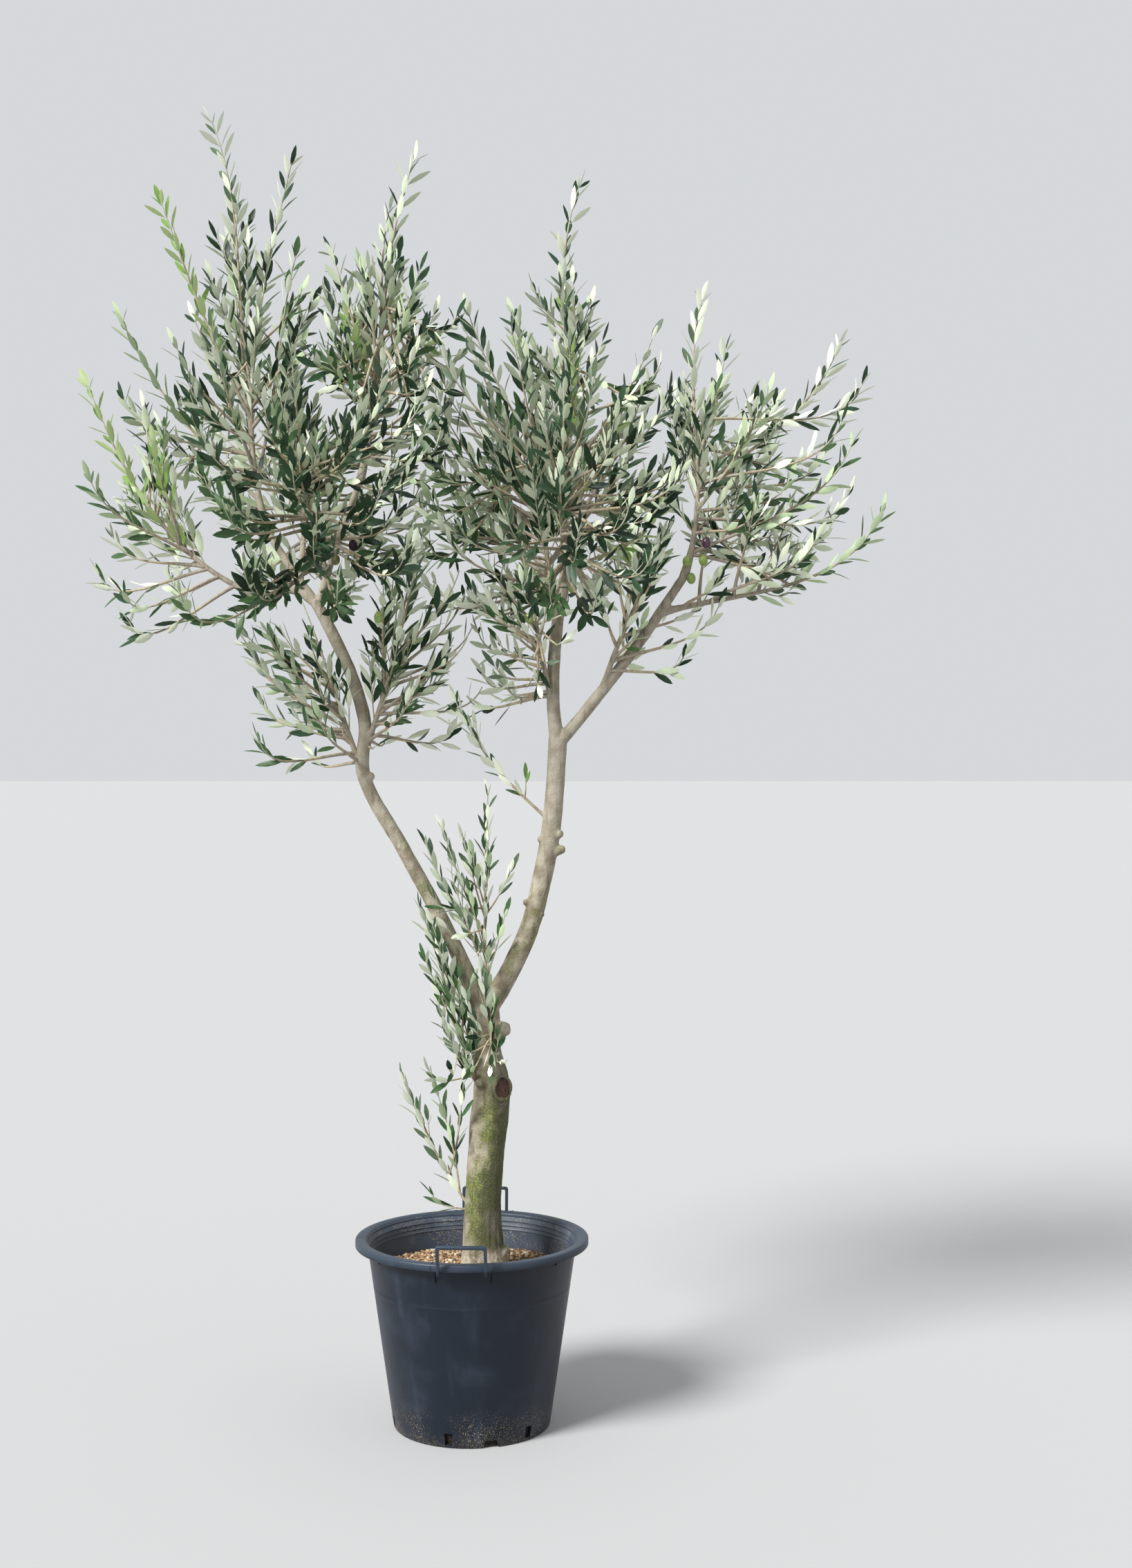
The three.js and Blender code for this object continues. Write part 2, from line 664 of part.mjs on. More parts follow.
// A point lies in a mass's own space when it is nearer to its shoots than to any other's.
function inOwnSpace(point, own) {
  const reach = nearest(point, spaces[own]) + SPACE_MARGIN;
  return spaces.every((space, other) => other === own || nearest(point, space) > reach);
}

const limbSamples = Object.values(limbShapes).flatMap(({ curve, radiusAt, rings }) => {
  const count = rings * LIMB_SAMPLES;
  return Array.from({ length: count + 1 }, (_, i) => (
    { point: curve.getPoint(i / count), radius: radiusAt(i / count) }));
});

function clearOfLimbs(point, margin) {
  return limbSamples.every((sample) => point.distanceTo(sample.point) > sample.radius + margin);
}

function clearOfPot(point) {
  return point.z > POT_HEIGHT + RIM_MARGIN;
}

// A leaf has its root inside the twig, and `over` points out of its upper side.
function leafPoint(leaf, forward, sideways, lift) {
  return leaf.root.clone().addScaledVector(leaf.along, forward)
    .addScaledVector(leaf.side, sideways).addScaledVector(leaf.over, lift);
}

function leafIsClear(leaf, own) {
  for (const share of LEAF_STATIONS) {
    const width = share < LEAF_WIDEST ? share / LEAF_WIDEST : (1 - share) / (1 - LEAF_WIDEST);
    for (const sideways of [-1, 0, 1]) {
      const point = leafPoint(leaf, share * leaf.length, sideways * width * leaf.halfWidth, 0);
      if (!inOwnSpace(point, own) || !clearOfPot(point)) return false;
      if (!clearOfLimbs(point, LIMB_MARGIN)) return false;
    }
  }
  return true;
}

function leafSolid(leaf) {
  const widest = leaf.length * LEAF_WIDEST;
  const points = [
    leafPoint(leaf, 0, 0, 0), leafPoint(leaf, widest, -leaf.halfWidth, 0),
    leafPoint(leaf, widest, leaf.halfWidth, 0),
    leafPoint(leaf, widest, 0, -leaf.length * LEAF_KEEL_SHARE),
    leafPoint(leaf, leaf.length, 0, 0),
  ];
  const corners = [0, 2, 1, 1, 2, 4, 0, 1, 3, 0, 3, 2, 1, 4, 3, 2, 3, 4];
  const geometry = new THREE.BufferGeometry().setFromPoints(points);
  geometry.setIndex(corners);
  return solidFrom(geometry);
}

// Leaves on one shoot: a single one at its end and pairs down to its bare part.
function leavesOn(shoot, state, own, bareShare) {
  const { kind, draw } = state;
  const leaves = [];
  const add = (t, angle, degrees, length) => {
    const lean = radians(degrees);
    const heading = shoot.headingAt(t);
    const [side, over] = across(heading);
    const out = side.clone().multiplyScalar(Math.cos(angle)).addScaledVector(over, Math.sin(angle));
    const along = heading.clone().multiplyScalar(Math.cos(lean)).addScaledVector(out, Math.sin(lean));
    const upper = heading.clone().multiplyScalar(Math.sin(lean)).addScaledVector(out, -Math.cos(lean));
    const edge = new THREE.Vector3().crossVectors(along, upper);
    const root = shoot.pointAt(t).addScaledVector(along, -LEAF_ROOT_DEPTH);
    const halfWidth = length * LEAF_WIDTH_SHARE / 2;
    const leaf = { root, along, side: edge, over: upper, length, halfWidth };
    if (leafIsClear(leaf, own)) leaves.push(leaf);
  };
  add(END_LEAF.at, draw(0, 2 * Math.PI), END_LEAF.lean, kind.leaf * END_LEAF.length);
  const turn = draw(0, Math.PI);
  const pairs = Math.floor(shoot.reach * (1 - bareShare) / kind.leafStep - FIRST_PAIR) + 1;
  for (let k = 0; k < pairs; k += 1) {
    const t = 1 - kind.leafStep * (k + FIRST_PAIR) / shoot.reach;
    const angle = turn + k * Math.PI / 2;
    for (const half of [0, Math.PI]) {
      const degrees = draw(LEAF_LEAN.least, LEAF_LEAN.most);
      add(t, angle + half, degrees, kind.leaf * draw(LEAF_LENGTH.least, LEAF_LENGTH.most));
    }
  }
  return leaves;
}

function shootSolid(shoot) {
  const steps = shoot.path.length - 1;
  return solidFrom(tube(shoot.path, 3, (i) => shoot.radiusAt(i / steps)));
}

// An olive on its stalk, hung from the nearest point of a mass's shoots.
function oliveSolids(place, shoots) {
  let best = { gap: Infinity };
  for (const shoot of shoots) {
    for (let i = 1; i < OLIVE_STOPS; i += 1) {
      const point = shoot.pointAt(i / OLIVE_STOPS);
      const behind = Math.max(point.y, 0) * OLIVE_DEPTH_COST;
      const gap = Math.hypot(point.x - place.x, point.z - place.z) + behind;
      if (gap < best.gap) best = { gap, point };
    }
  }
  const aside = Math.sign(place.x - best.point.x) * OLIVE_DROP.aside;
  const down = new THREE.Vector3(aside, -OLIVE_DROP.forward, -1).normalize();
  const drop = OLIVE.stalk + OLIVE.halfLength - OLIVE.sink;
  const centre = best.point.clone().addScaledVector(down, drop);
  const fruit = new THREE.IcosahedronGeometry(1, 0);
  fruit.scale(OLIVE.radius, OLIVE.radius, OLIVE.halfLength);
  fruit.translate(centre.x, centre.y, centre.z);
  const stalk = tube([best.point, centre], 3, () => OLIVE.stalkRadius);
  return { gap: best.gap, centre, solids: [solidFrom(stalk), solidFrom(fruit)] };
}

// Each olive goes to the mass whose shoots pass nearest to it, if it stays clear there.
const OLIVE_EDGES = [[1, 0], [-1, 0], [0, 1], [0, -1], [0, 0]];
const olivesOf = starts.map(() => []);
const shootsOf = starts.map(({ stem, leaders }) => [stem, ...leaders]);
for (const [x, z] of OLIVES) {
  const place = sighted([x, 0, z]);
  const offers = starts.map((state, own) => ({ own, ...oliveSolids(place, shootsOf[own]) }));
  offers.sort((a, b) => a.gap - b.gap);
  const clear = ({ own, centre }) => OLIVE_EDGES.every(([dx, dz]) => {
    const edge = centre.clone().add(new THREE.Vector3(dx, 0, dz).multiplyScalar(OLIVE.halfLength));
    return inOwnSpace(edge, own) && clearOfLimbs(edge, LIMB_MARGIN);
  });
  const taken = offers.find(clear);
  if (taken) olivesOf[taken.own].push(...taken.solids);
}

function makeMasses() {
  return starts.map((state, own) => {
    const bareShare = state.mass.at === 1 ? BARE_SHARE_AT_TIP : BARE_SHARE;
    const shoots = shootsOf[own];
    const leaves = shoots.flatMap((shoot) => leavesOn(shoot, state, own, bareShare));
    const solids = [...shoots.map(shootSolid), ...leaves.map(leafSolid), ...olivesOf[own]];
    const solid = mainBody(cutBy(fuse(solids), Object.values(grownLimbs)));
    const colour = state.kind === CROWN ? COLOURS.foliage : COLOURS.shoot;
    return meshFrom(solid, state.name, colour, 0.7);
  });
}

const group = new THREE.Group();
group.add(makePot(), makeSoil());
group.add(makeHandle('handle_front', FRONT_HANDLE), makeHandle('handle_rear', REAR_HANDLE));
group.add(...makeLimbs(), ...makeMasses());

export default group;
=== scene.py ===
# An olive tree in a plastic nursery pot, dressed over its measured model.
# Lengths are in millimetres until a mesh is made, +Z is up and -Y is the front.

import math

import bmesh
import bpy
import numpy as np
from mathutils import Matrix, Vector, noise


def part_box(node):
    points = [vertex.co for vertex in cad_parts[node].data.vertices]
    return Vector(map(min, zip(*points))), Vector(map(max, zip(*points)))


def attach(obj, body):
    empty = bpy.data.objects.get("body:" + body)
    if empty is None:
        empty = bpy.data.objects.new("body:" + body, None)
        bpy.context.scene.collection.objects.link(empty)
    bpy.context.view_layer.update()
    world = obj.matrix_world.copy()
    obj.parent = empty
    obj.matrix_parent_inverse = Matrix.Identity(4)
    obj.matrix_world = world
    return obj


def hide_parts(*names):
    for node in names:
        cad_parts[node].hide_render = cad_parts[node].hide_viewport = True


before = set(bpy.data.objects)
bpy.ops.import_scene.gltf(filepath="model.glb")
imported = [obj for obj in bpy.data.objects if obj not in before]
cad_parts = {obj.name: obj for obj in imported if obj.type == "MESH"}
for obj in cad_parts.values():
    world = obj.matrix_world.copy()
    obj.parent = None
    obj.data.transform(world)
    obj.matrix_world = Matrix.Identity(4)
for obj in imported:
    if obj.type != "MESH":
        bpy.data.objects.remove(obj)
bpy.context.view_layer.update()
MM = 0.001

# The camera stands where the viewer stood: level, at chest height, a little to the right of
# the pot's axis. The horizon lies just above the middle of the picture.
EYE = Vector((184, -3893, 1310))
SENSOR_WIDTH = 36
PICTURE_HEIGHT_PX = 2268
FOCAL_LENGTH_PX = 2873
HORIZON_PX = 1090

camera_data = bpy.data.cameras.new("camera")
camera_data.sensor_width = SENSOR_WIDTH
camera_data.lens = SENSOR_WIDTH * FOCAL_LENGTH_PX / PICTURE_HEIGHT_PX
camera_data.shift_y = HORIZON_PX / PICTURE_HEIGHT_PX - 0.5
camera = bpy.data.objects.new("camera", camera_data)
camera.location = EYE * MM
camera.rotation_euler = (math.radians(90), 0, 0)
bpy.context.scene.collection.objects.link(camera)
bpy.context.scene.camera = camera


# The pot is one injection moulding in slate-black polypropylene. It has a flanged rim with a
# rolled lip, stacking rings inside the mouth, and drain holes cut through its foot.
POT_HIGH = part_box("pot")[1] / MM
POT_HEIGHT = POT_HIGH.z
RIM_RADIUS = POT_HIGH.x
BASE_RADIUS = 153
FOOT_ROUND = 3
WALL_TOP_RADIUS = 204
MOUTH_RADIUS = 207
WALL = 4
FLOOR = 5
LIP_HEIGHT = 14
LIP_THICKNESS = 3.5
LIP_ROUND = 4
LIP_EDGE = 0.8
LIP_CORNER = 1.5
LIP_FOOT = POT_HEIGHT - LIP_HEIGHT
FLANGE_ROUND = 2
INSIDE_HEIGHTS = (310, 200, 100, 12)
MOUTH_EDGE = POT_HEIGHT - 2.4
RIM_GROOVE = {"depth": 1, "inner": 1.5, "outer": 3.5, "brim": 5}
MOULD_LINE = {"height": 272, "proud": 0.3, "flat": 0.5, "half": 1.2}
STACKING_RINGS = {"below": (16, 25, 33), "proud": 0.9, "flat": 0.5, "half": 1.4}
AXIS_RADIUS = 1
POT_SIDES = 180
SHARP = 40
NOTCH = {"count": 3, "azimuth": 16, "floor_width": 33, "top_width": 21, "height": 15}
WINDOW = {"count": 6, "azimuth": 46, "width": 15, "height": 23, "sill": 6}
POCKET = {"width": 10, "height": 8, "depth": 2, "below_lip": 6, "beside_handle": 56}
HANDLES = {"handle_front": {"azimuth": -2, "lean": 20}, "handle_rear": {"azimuth": 176, "lean": 3}}
CUTTER_DEPTH = 20


class Signal:
    """A value on its way through a material's nodes, so that a finish reads as a sum."""

    def __init__(self, finish, socket):
        self.finish = finish
        self.socket = socket

    def sum(self, operation, first, second):
        return self.finish.node("ShaderNodeMath", {"operation": operation}, {0: first, 1: second})

    def __add__(self, other):
        return self.sum("ADD", self, other)

    def __sub__(self, other):
        return self.sum("SUBTRACT", self, other)

    def __rsub__(self, other):
        return self.sum("SUBTRACT", other, self)

    def __mul__(self, other):
        return self.sum("MULTIPLY", self, other)

    __radd__ = __add__
    __rmul__ = __mul__


class Finish:
    """One material. Its sockets take plain values or signals."""

    def __init__(self, name, base, roughness, **others):
        self.material = bpy.data.materials.new(name)
        self.material.use_nodes = True
        self.tree = self.material.node_tree
        self.shader = self.tree.nodes["Principled BSDF"]
        self.wear({"Base Color": (*base, 1), "Roughness": roughness, **others})

    def wear(self, sockets):
        self.fill(self.shader, sockets)

    def fill(self, node, sockets):
        for name, value in sockets.items():
            if isinstance(value, Signal):
                self.tree.links.new(value.socket, node.inputs[name])
            else:
                node.inputs[name].default_value = value

    def node(self, kind, settings, sockets, output=0):
        node = self.tree.nodes.new(kind)
        for name, value in settings.items():
            setattr(node, name, value)
        self.fill(node, sockets)
        return Signal(self, node.outputs[output])

    def place(self, stretch=(1, 1, 1)):
        here = self.node("ShaderNodeTexCoord", {}, {}, "Object")
        return self.node("ShaderNodeVectorMath", {"operation": "MULTIPLY"}, {0: here, 1: stretch})

    def along(self, axis):
        return self.node("ShaderNodeSeparateXYZ", {}, {0: self.place()}, axis)

    def height(self):
        """Metres above the floor."""
        return self.along("Z")

    def cloud(self, size, detail=3, stretch=(1, 1, 1), rough=0.5):
        sockets = {"Vector": self.place(stretch), "Scale": 1 / (size * MM), "Detail": detail,
                   "Roughness": rough}
        return self.node("ShaderNodeTexNoise", {}, sockets)

    def step(self, value, low, high):
        """0 below `low`, 1 above `high`, and a soft slope between them. They may be swapped."""
        sockets = {"Value": value, "From Min": low, "From Max": high}
        return self.node("ShaderNodeMapRange", {"interpolation_type": "SMOOTHSTEP"}, sockets)

    def tint(self, under, over, share):
        under, over = (c if isinstance(c, Signal) else (*c, 1) for c in (under, over))
        sockets = {0: share, 6: under, 7: over}
        return self.node("ShaderNodeMix", {"data_type": "RGBA"}, sockets, 2)

    def relief(self, height, depth):
        sockets = {"Height": height, "Distance": depth * MM, "Strength": 1}
        return self.node("ShaderNodeBump", {}, sockets)


def make_piece(name, points, faces, finishes, which=None, crease=SHARP):
    """A meshed object from points in millimetres; `which` picks each face's finish."""
    mesh = bpy.data.meshes.new(name)
    mesh.from_pydata((np.asarray(points, float) * MM).tolist(), [], faces)
    for finish in finishes:
        mesh.materials.append(finish.material)
    if which is not None:
        mesh.polygons.foreach_set("material_index", which)
    mesh.shade_smooth()
    mesh.set_sharp_from_angle(angle=math.radians(crease))
    piece = bpy.data.objects.new(name, mesh)
    bpy.context.scene.collection.objects.link(piece)
    return piece


def settle(piece):
    """Makes what the modifiers show the piece's own mesh."""
    graph = bpy.context.evaluated_depsgraph_get()
    piece.data = bpy.data.meshes.new_from_object(piece.evaluated_get(graph))
    piece.modifiers.clear()


def seat(piece, slot, *nodes):
    """Fixes a finished piece to the one body and hides the measured parts that it stands for."""
    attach(piece, "root")
    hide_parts(*nodes)


def turned(profile, sides):
    """Points and faces of a solid turned round Z from rows of radius and height."""
    turns = np.arange(sides) * 2 * math.pi / sides
    points = [(radius * math.sin(turn), -radius * math.cos(turn), height)
              for radius, height in profile for turn in turns]
    faces = []
    for ring in range(len(profile) - 1):
        for k in range(sides):
            a, b = ring * sides + k, ring * sides + (k + 1) % sides
            faces.append((a, b, b + sides, a + sides))
    last = (len(profile) - 1) * sides
    faces.append(tuple(range(sides))[::-1])
    faces.append(tuple(range(last, last + sides)))
    return points, faces


def wall_inside(height):
    share = height / LIP_FOOT
    return BASE_RADIUS - WALL + (WALL_TOP_RADIUS - BASE_RADIUS) * share


def pot_profile():
    """The wall's section, from the underside up the outside and down the inside."""
    def outside(height):
        return BASE_RADIUS + (WALL_TOP_RADIUS - BASE_RADIUS) * height / LIP_FOOT

    def band(shape, radius, proud, height):
        """A raised line round the wall, with its rows from the lower edge up."""
        return [(radius, height - shape["half"]), (radius + proud, height - shape["flat"]),
                (radius + proud, height + shape["flat"]), (radius, height + shape["half"])]

    line = MOULD_LINE["height"]
    rows = [(AXIS_RADIUS, 0), (BASE_RADIUS - FOOT_ROUND, 0),
            (BASE_RADIUS - 0.3 * FOOT_ROUND, 0.3 * FOOT_ROUND), (BASE_RADIUS, FOOT_ROUND)]
    rows += [(outside(h), h) for h in range(20, line - 10, 20)]
    rows += band(MOULD_LINE, outside(line - 1), MOULD_LINE["proud"], line)
    rows += [(outside(h), h) for h in range(line + 10, int(LIP_FOOT), 15)]
    flange = POT_HEIGHT - WALL
    rows += [(WALL_TOP_RADIUS, flange - FLANGE_ROUND), (WALL_TOP_RADIUS + FLANGE_ROUND, flange)]
    lip_inside = RIM_RADIUS - LIP_THICKNESS
    rows += [(lip_inside - LIP_CORNER, flange), (lip_inside, flange - LIP_CORNER),
             (lip_inside, LIP_FOOT + LIP_EDGE), (lip_inside + LIP_EDGE, LIP_FOOT),
             (RIM_RADIUS - LIP_EDGE, LIP_FOOT), (RIM_RADIUS, LIP_FOOT + LIP_EDGE),
             (RIM_RADIUS, POT_HEIGHT - LIP_ROUND)]
    rows += [(RIM_RADIUS - LIP_ROUND + LIP_ROUND * math.cos(a),
              POT_HEIGHT - LIP_ROUND + LIP_ROUND * math.sin(a)) for a in np.radians((22, 45, 68, 90))]
    groove = POT_HEIGHT - RIM_GROOVE["depth"]
    rows += [(MOUTH_RADIUS + RIM_GROOVE["brim"], POT_HEIGHT), (MOUTH_RADIUS + RIM_GROOVE["outer"], groove),
             (MOUTH_RADIUS + RIM_GROOVE["inner"], groove), (MOUTH_RADIUS, MOUTH_EDGE)]
    for below in STACKING_RINGS["below"]:
        height = POT_HEIGHT - below
        radius = wall_inside(min(height, LIP_FOOT))
        rows += band(STACKING_RINGS, radius, -STACKING_RINGS["proud"], height)[::-1]
    rows += [(wall_inside(h), h) for h in INSIDE_HEIGHTS]
    rows += [(wall_inside(0) - WALL, FLOOR), (AXIS_RADIUS, FLOOR)]
    return rows


def block(width, depth, height, centre, azimuth, top_width=None):
    """Points and faces of a box, or of one that narrows upwards, turned to an azimuth."""
    top_width = width if top_width is None else top_width
    turn = Matrix.Rotation(math.radians(azimuth), 3, "Z")
    points = []
    for up, wide in ((-0.5, width), (0.5, top_width)):
        for across, along in ((-0.5, -0.5), (0.5, -0.5), (0.5, 0.5), (-0.5, 0.5)):
            corner = Vector(centre) + Vector((across * wide, along * depth, up * height))
            points.append(tuple(turn @ corner))
    faces = [(3, 2, 1, 0), (4, 5, 6, 7), (0, 1, 5, 4), (1, 2, 6, 5), (2, 3, 7, 6), (3, 0, 4, 7)]
    return points, faces


def joined(parts):
    """Several meshes' points and faces as one."""
    points, faces = [], []
    for more_points, more_faces in parts:
        start = len(points)
        points.extend(more_points)
        faces.extend(tuple(start + i for i in face) for face in more_faces)
    return points, faces


def cut_out(piece, parts):
    """Cuts closed shapes out of a piece."""
    cutter = make_piece("cutter", *joined(parts), [])
    cut = piece.modifiers.new("holes", "BOOLEAN")
    cut.operation = "DIFFERENCE"
    cut.solver = "EXACT"
    cut.object = cutter
    settle(piece)
    bpy.data.objects.remove(cutter)
    piece.data.set_sharp_from_angle(angle=math.radians(SHARP))


# The "rim" colour is a painted sheen, for the light that catches the rim's top.
PLASTIC = {"dark": (0.005, 0.009, 0.017), "scuffed": (0.04, 0.056, 0.082),
           # The "inside" colour and the painted highlight are paler and bluer than the plastic: painted
           # light in the pot's shaded inside.
           "rim": (0.032, 0.047, 0.068), "inside": (0.03, 0.042, 0.064),
           "painted_highlight": (0.075, 0.09, 0.11)}
SOIL_DUST = (0.19, 0.15, 0.11)
SOIL_SPECK = (0.3, 0.23, 0.12)
SOIL_SPLASH = (0.3, 0.24, 0.16)


def slate_finish():
    """Moulded plastic: cloudy scuffs, smears that run down the wall, specks of soil, and a painted sheen
    along the rim.
    """
    finish = Finish("slate_plastic", PLASTIC["dark"], 0.5, **{"Specular IOR Level": 0.3})
    scuffs = finish.step(finish.cloud(90, 4), 0.48, 0.8)
    smears = finish.step(finish.cloud(40, 5, (1, 1, 0.14)), 0.52, 0.8)
    scratches = finish.step(finish.cloud(3, 2, (1, 1, 0.4)), 0.64, 0.7)
    wear = scuffs * 0.34 + smears * 0.36 + scratches * scuffs * 0.4
    colour = finish.tint(PLASTIC["dark"], PLASTIC["scuffed"], wear)
    height = finish.height()
    # The rim's top is tinted paler and bluer: a painted sheen.
    rim = finish.step(height, 0.349, 0.362)
    colour = finish.tint(colour, PLASTIC["rim"], rim * 0.8)
    dust = finish.step(height, 0.03, 0.0) * finish.step(finish.cloud(3, 4), 0.45, 0.7)
    colour = finish.tint(colour, SOIL_DUST, dust * 0.4)
    specks = finish.step(finish.cloud(2.2, 2), 0.6, 0.66)
    low = finish.step(height, 0.085, 0.02) * finish.step(finish.cloud(70, 2), 0.4, 0.56)
    colour = finish.tint(colour, SOIL_SPECK, specks * low * 0.9)
    finish.wear({"Base Color": colour, "Roughness": 0.4 + wear * 0.3 + specks * low * 0.3,
                 "Normal": finish.relief(finish.cloud(0.9, 2) * 0.1 + finish.cloud(60, 2), 1)})
    return finish


def inside_splashes_and_painted_light():
    """The same plastic inside the mouth, splashed with soil at the back. It is paler and bluer, with
    brighter patches: painted light and painted highlights in the shaded inside.
    """
    finish = Finish("splashed_plastic_painted_light", PLASTIC["inside"], 0.55)
    # Pale bluish patches: painted highlights.
    painted_highlight = finish.step(finish.cloud(50, 4), 0.4, 0.75)
    colour = finish.tint(PLASTIC["inside"], PLASTIC["painted_highlight"], painted_highlight * 0.6)
    splashes = finish.step(finish.cloud(2.4, 3), 0.56, 0.66)
    where = finish.step(finish.cloud(60, 2), 0.44, 0.56)
    colour = finish.tint(colour, SOIL_SPLASH, splashes * where * 0.75)
    finish.wear({"Base Color": colour, "Roughness": 0.5 + painted_highlight * 0.2})
    return finish


def foot_holes():
    """The notches in the foot's edge and the windows above it."""
    cutters = []
    for i in range(NOTCH["count"]):
        rise = NOTCH["height"] + 1
        cutters.append(block(NOTCH["floor_width"], CUTTER_DEPTH, rise, (0, -BASE_RADIUS, rise / 2 - 1),
                             NOTCH["azimuth"] + i * 360 / NOTCH["count"], NOTCH["top_width"]))
    for i in range(WINDOW["count"]):
        centre = (0, -BASE_RADIUS, WINDOW["sill"] + WINDOW["height"] / 2)
        cutters.append(block(WINDOW["width"], CUTTER_DEPTH, WINDOW["height"], centre,
                             WINDOW["azimuth"] + i * 360 / WINDOW["count"]))
    return cutters


def lip_pockets():
    """The small dents under the lip, one on each side of a handle."""
    cutters = []
    pocket_height = LIP_FOOT - POCKET["below_lip"] - POCKET["height"] / 2
    pocket_back = wall_inside(pocket_height) + WALL - POCKET["depth"]
    for handle in HANDLES.values():
        for side in (-1, 1):
            cutters.append(block(POCKET["width"], CUTTER_DEPTH, POCKET["height"],
                                 (0, -pocket_back - CUTTER_DEPTH / 2, pocket_height),
                                 handle["azimuth"] + side * POCKET["beside_handle"]))
    return cutters


slate_plastic = slate_finish()
profile = pot_profile()
points, faces = turned(profile, POT_SIDES)
mouth = [height for _, height in profile].index(MOUTH_EDGE)
which = [int(k // POT_SIDES >= mouth) for k in range(len(faces))]
pot = make_piece("pot_shell", points, faces, [slate_plastic, inside_splashes_and_painted_light()], which)
cut_out(pot, foot_holes() + lip_pockets())
seat(pot, "pot", "pot")


# Each carrying handle is a flat moulded arch. Its two posts snap into a stretch of the rim
# that ends in a seam and a rib on both sides, and the front one has tipped outwards.
HANDLE = {"width": 95, "height": 60, "bar": 6, "depth": 7, "corner": 5, "clip": 6, "reach": 17,
          "heel": 2, "fillet": 1.5, "ease": 0.2, "round": 0.9}
CORNER_SHARE = 0.3
GAP = 0.3
RIB = {"width": 1.8, "proud": 2, "height": 27, "angle": 15.3, "out": 1}
SEAM = {"width": 1.6, "proud": 1.1, "above": 4, "across": 9, "out": 1}


def handle_outline():
    half, top, bar = HANDLE["width"] / 2, HANDLE["height"], HANDLE["bar"]
    corner = HANDLE["corner"]
    bevel, foot = corner * CORNER_SHARE, -HANDLE["clip"] / 2
    right = [(half, foot), (half, top - corner), (half - bevel, top - bevel), (half - corner, top)]
    left = [(-across, up) for across, up in reversed(right)]
    fillet = bar + HANDLE["fillet"]
    inside = [(-half + bar, foot), (-half + bar, top - fillet), (-half + fillet, top - bar),
              (half - fillet, top - bar), (half - bar, top - fillet), (half - bar, foot)]
    return right + left + inside


def make_handle(name, azimuth, lean):
    outline = handle_outline()
    count = len(outline)
    depth = HANDLE["depth"]
    points = [(across, along, up) for along in (0, -depth) for across, up in outline]
    faces = [tuple(range(count)), tuple(range(count, 2 * count))[::-1]]
    faces += [((k + 1) % count, k, k + count, (k + 1) % count + count) for k in range(count)]
    tip_out = Matrix.Rotation(math.radians(lean), 3, "X")
    turn = Matrix.Rotation(math.radians(azimuth), 3, "Z")
    seat_at = Vector((0, -RIM_RADIUS - GAP, LIP_FOOT))
    placed = [tuple(turn @ (tip_out @ Vector(point) + seat_at)) for point in points]
    parts = [(placed, faces)]
    for side in (-1, 1):
        centre = (side * (HANDLE["width"] - HANDLE["bar"]) / 2,
                  -RIM_RADIUS - depth / 2 + HANDLE["reach"] / 2 - HANDLE["heel"],
                  LIP_FOOT - GAP - (HANDLE["clip"] - GAP) / 2)
        parts.append(block(HANDLE["bar"] - HANDLE["ease"], HANDLE["reach"], HANDLE["clip"] - GAP,
                           centre, azimuth))
    handle = make_piece(f"{name}_arch", *joined(parts), [slate_plastic], crease=50)
    soften = handle.modifiers.new("edges", "BEVEL")
    soften.width = HANDLE["round"] * MM
    soften.segments = 3
    settle(handle)
    handle.data.shade_smooth()
    seat(handle, "handle", name)


def make_rim_stops():
    """Thin ribs under the rim and seams across it, where each handle's stretch ends."""
    parts = []
    rib_middle = LIP_FOOT - RIB["height"] / 2
    wall_at = wall_inside(rib_middle) + WALL
    seam_height = LIP_HEIGHT - SEAM["above"]
    seam_width = RIM_RADIUS - MOUTH_RADIUS - SEAM["across"]
    for handle in HANDLES.values():
        for side in (-1, 1):
            azimuth = handle["azimuth"] + side * RIB["angle"]
            parts.append(block(RIB["width"], 2 * RIB["proud"], RIB["height"],
                               (0, -wall_at - RIB["out"], rib_middle), azimuth))
            parts.append(block(SEAM["width"], 2 * SEAM["proud"], seam_height,
                               (0, -RIM_RADIUS, LIP_FOOT + seam_height / 2), azimuth))
            parts.append(block(SEAM["width"], seam_width, 2 * SEAM["proud"],
                               (0, -(RIM_RADIUS + MOUTH_RADIUS) / 2 - SEAM["out"], POT_HEIGHT),
                               azimuth))
    stops = make_piece("rim_stops", *joined(parts), [slate_plastic])
    seat(stops, "pot", "pot")


for name, handle in HANDLES.items():
    make_handle(name, **handle)
make_rim_stops()


# Soil: baked clay and pumice grains of 4 to 10 mm, tan and rust with a few white and mossy
# ones. They lie loose on a body of soil that ends less than a hand's width below the rim.
SOIL_LEVEL = 300
SOIL_SUNK = 4
SOIL_EDGE = 6
SOIL_RINGS = 34
SOIL_SIDES = 120
LUMP = {"size": 45, "rise": 3}
CLOD = {"size": 14, "rise": 1.3}
MOUND = {"rise": 3, "reach": 50}
GRAINS = 3600
GRAIN = {"seed": 41, "least": 2.0, "most": 5.2, "stray": 2, "sunk": 0.45, "dent": 0.3}
# Right of from_x the grains lean to the darker and mossy kinds, elsewhere a little to the lighter ones.
DARKER_RIGHT = {"from_x": 40, "share": 0.12, "elsewhere": -0.04}
GOLDEN_ANGLE = math.pi * (3 - math.sqrt(5))
TRUNK_FOOT = Vector((24, 0))


def draws_from(seed):
    """Seeded draws between two values, so that everything grows the same way each time."""
    state = seed

    def draw(low, high):
        nonlocal state
        state = (state * 1664525 + 1013904223) % 4294967296
        return low + (high - low) * state / 4294967296
    return draw


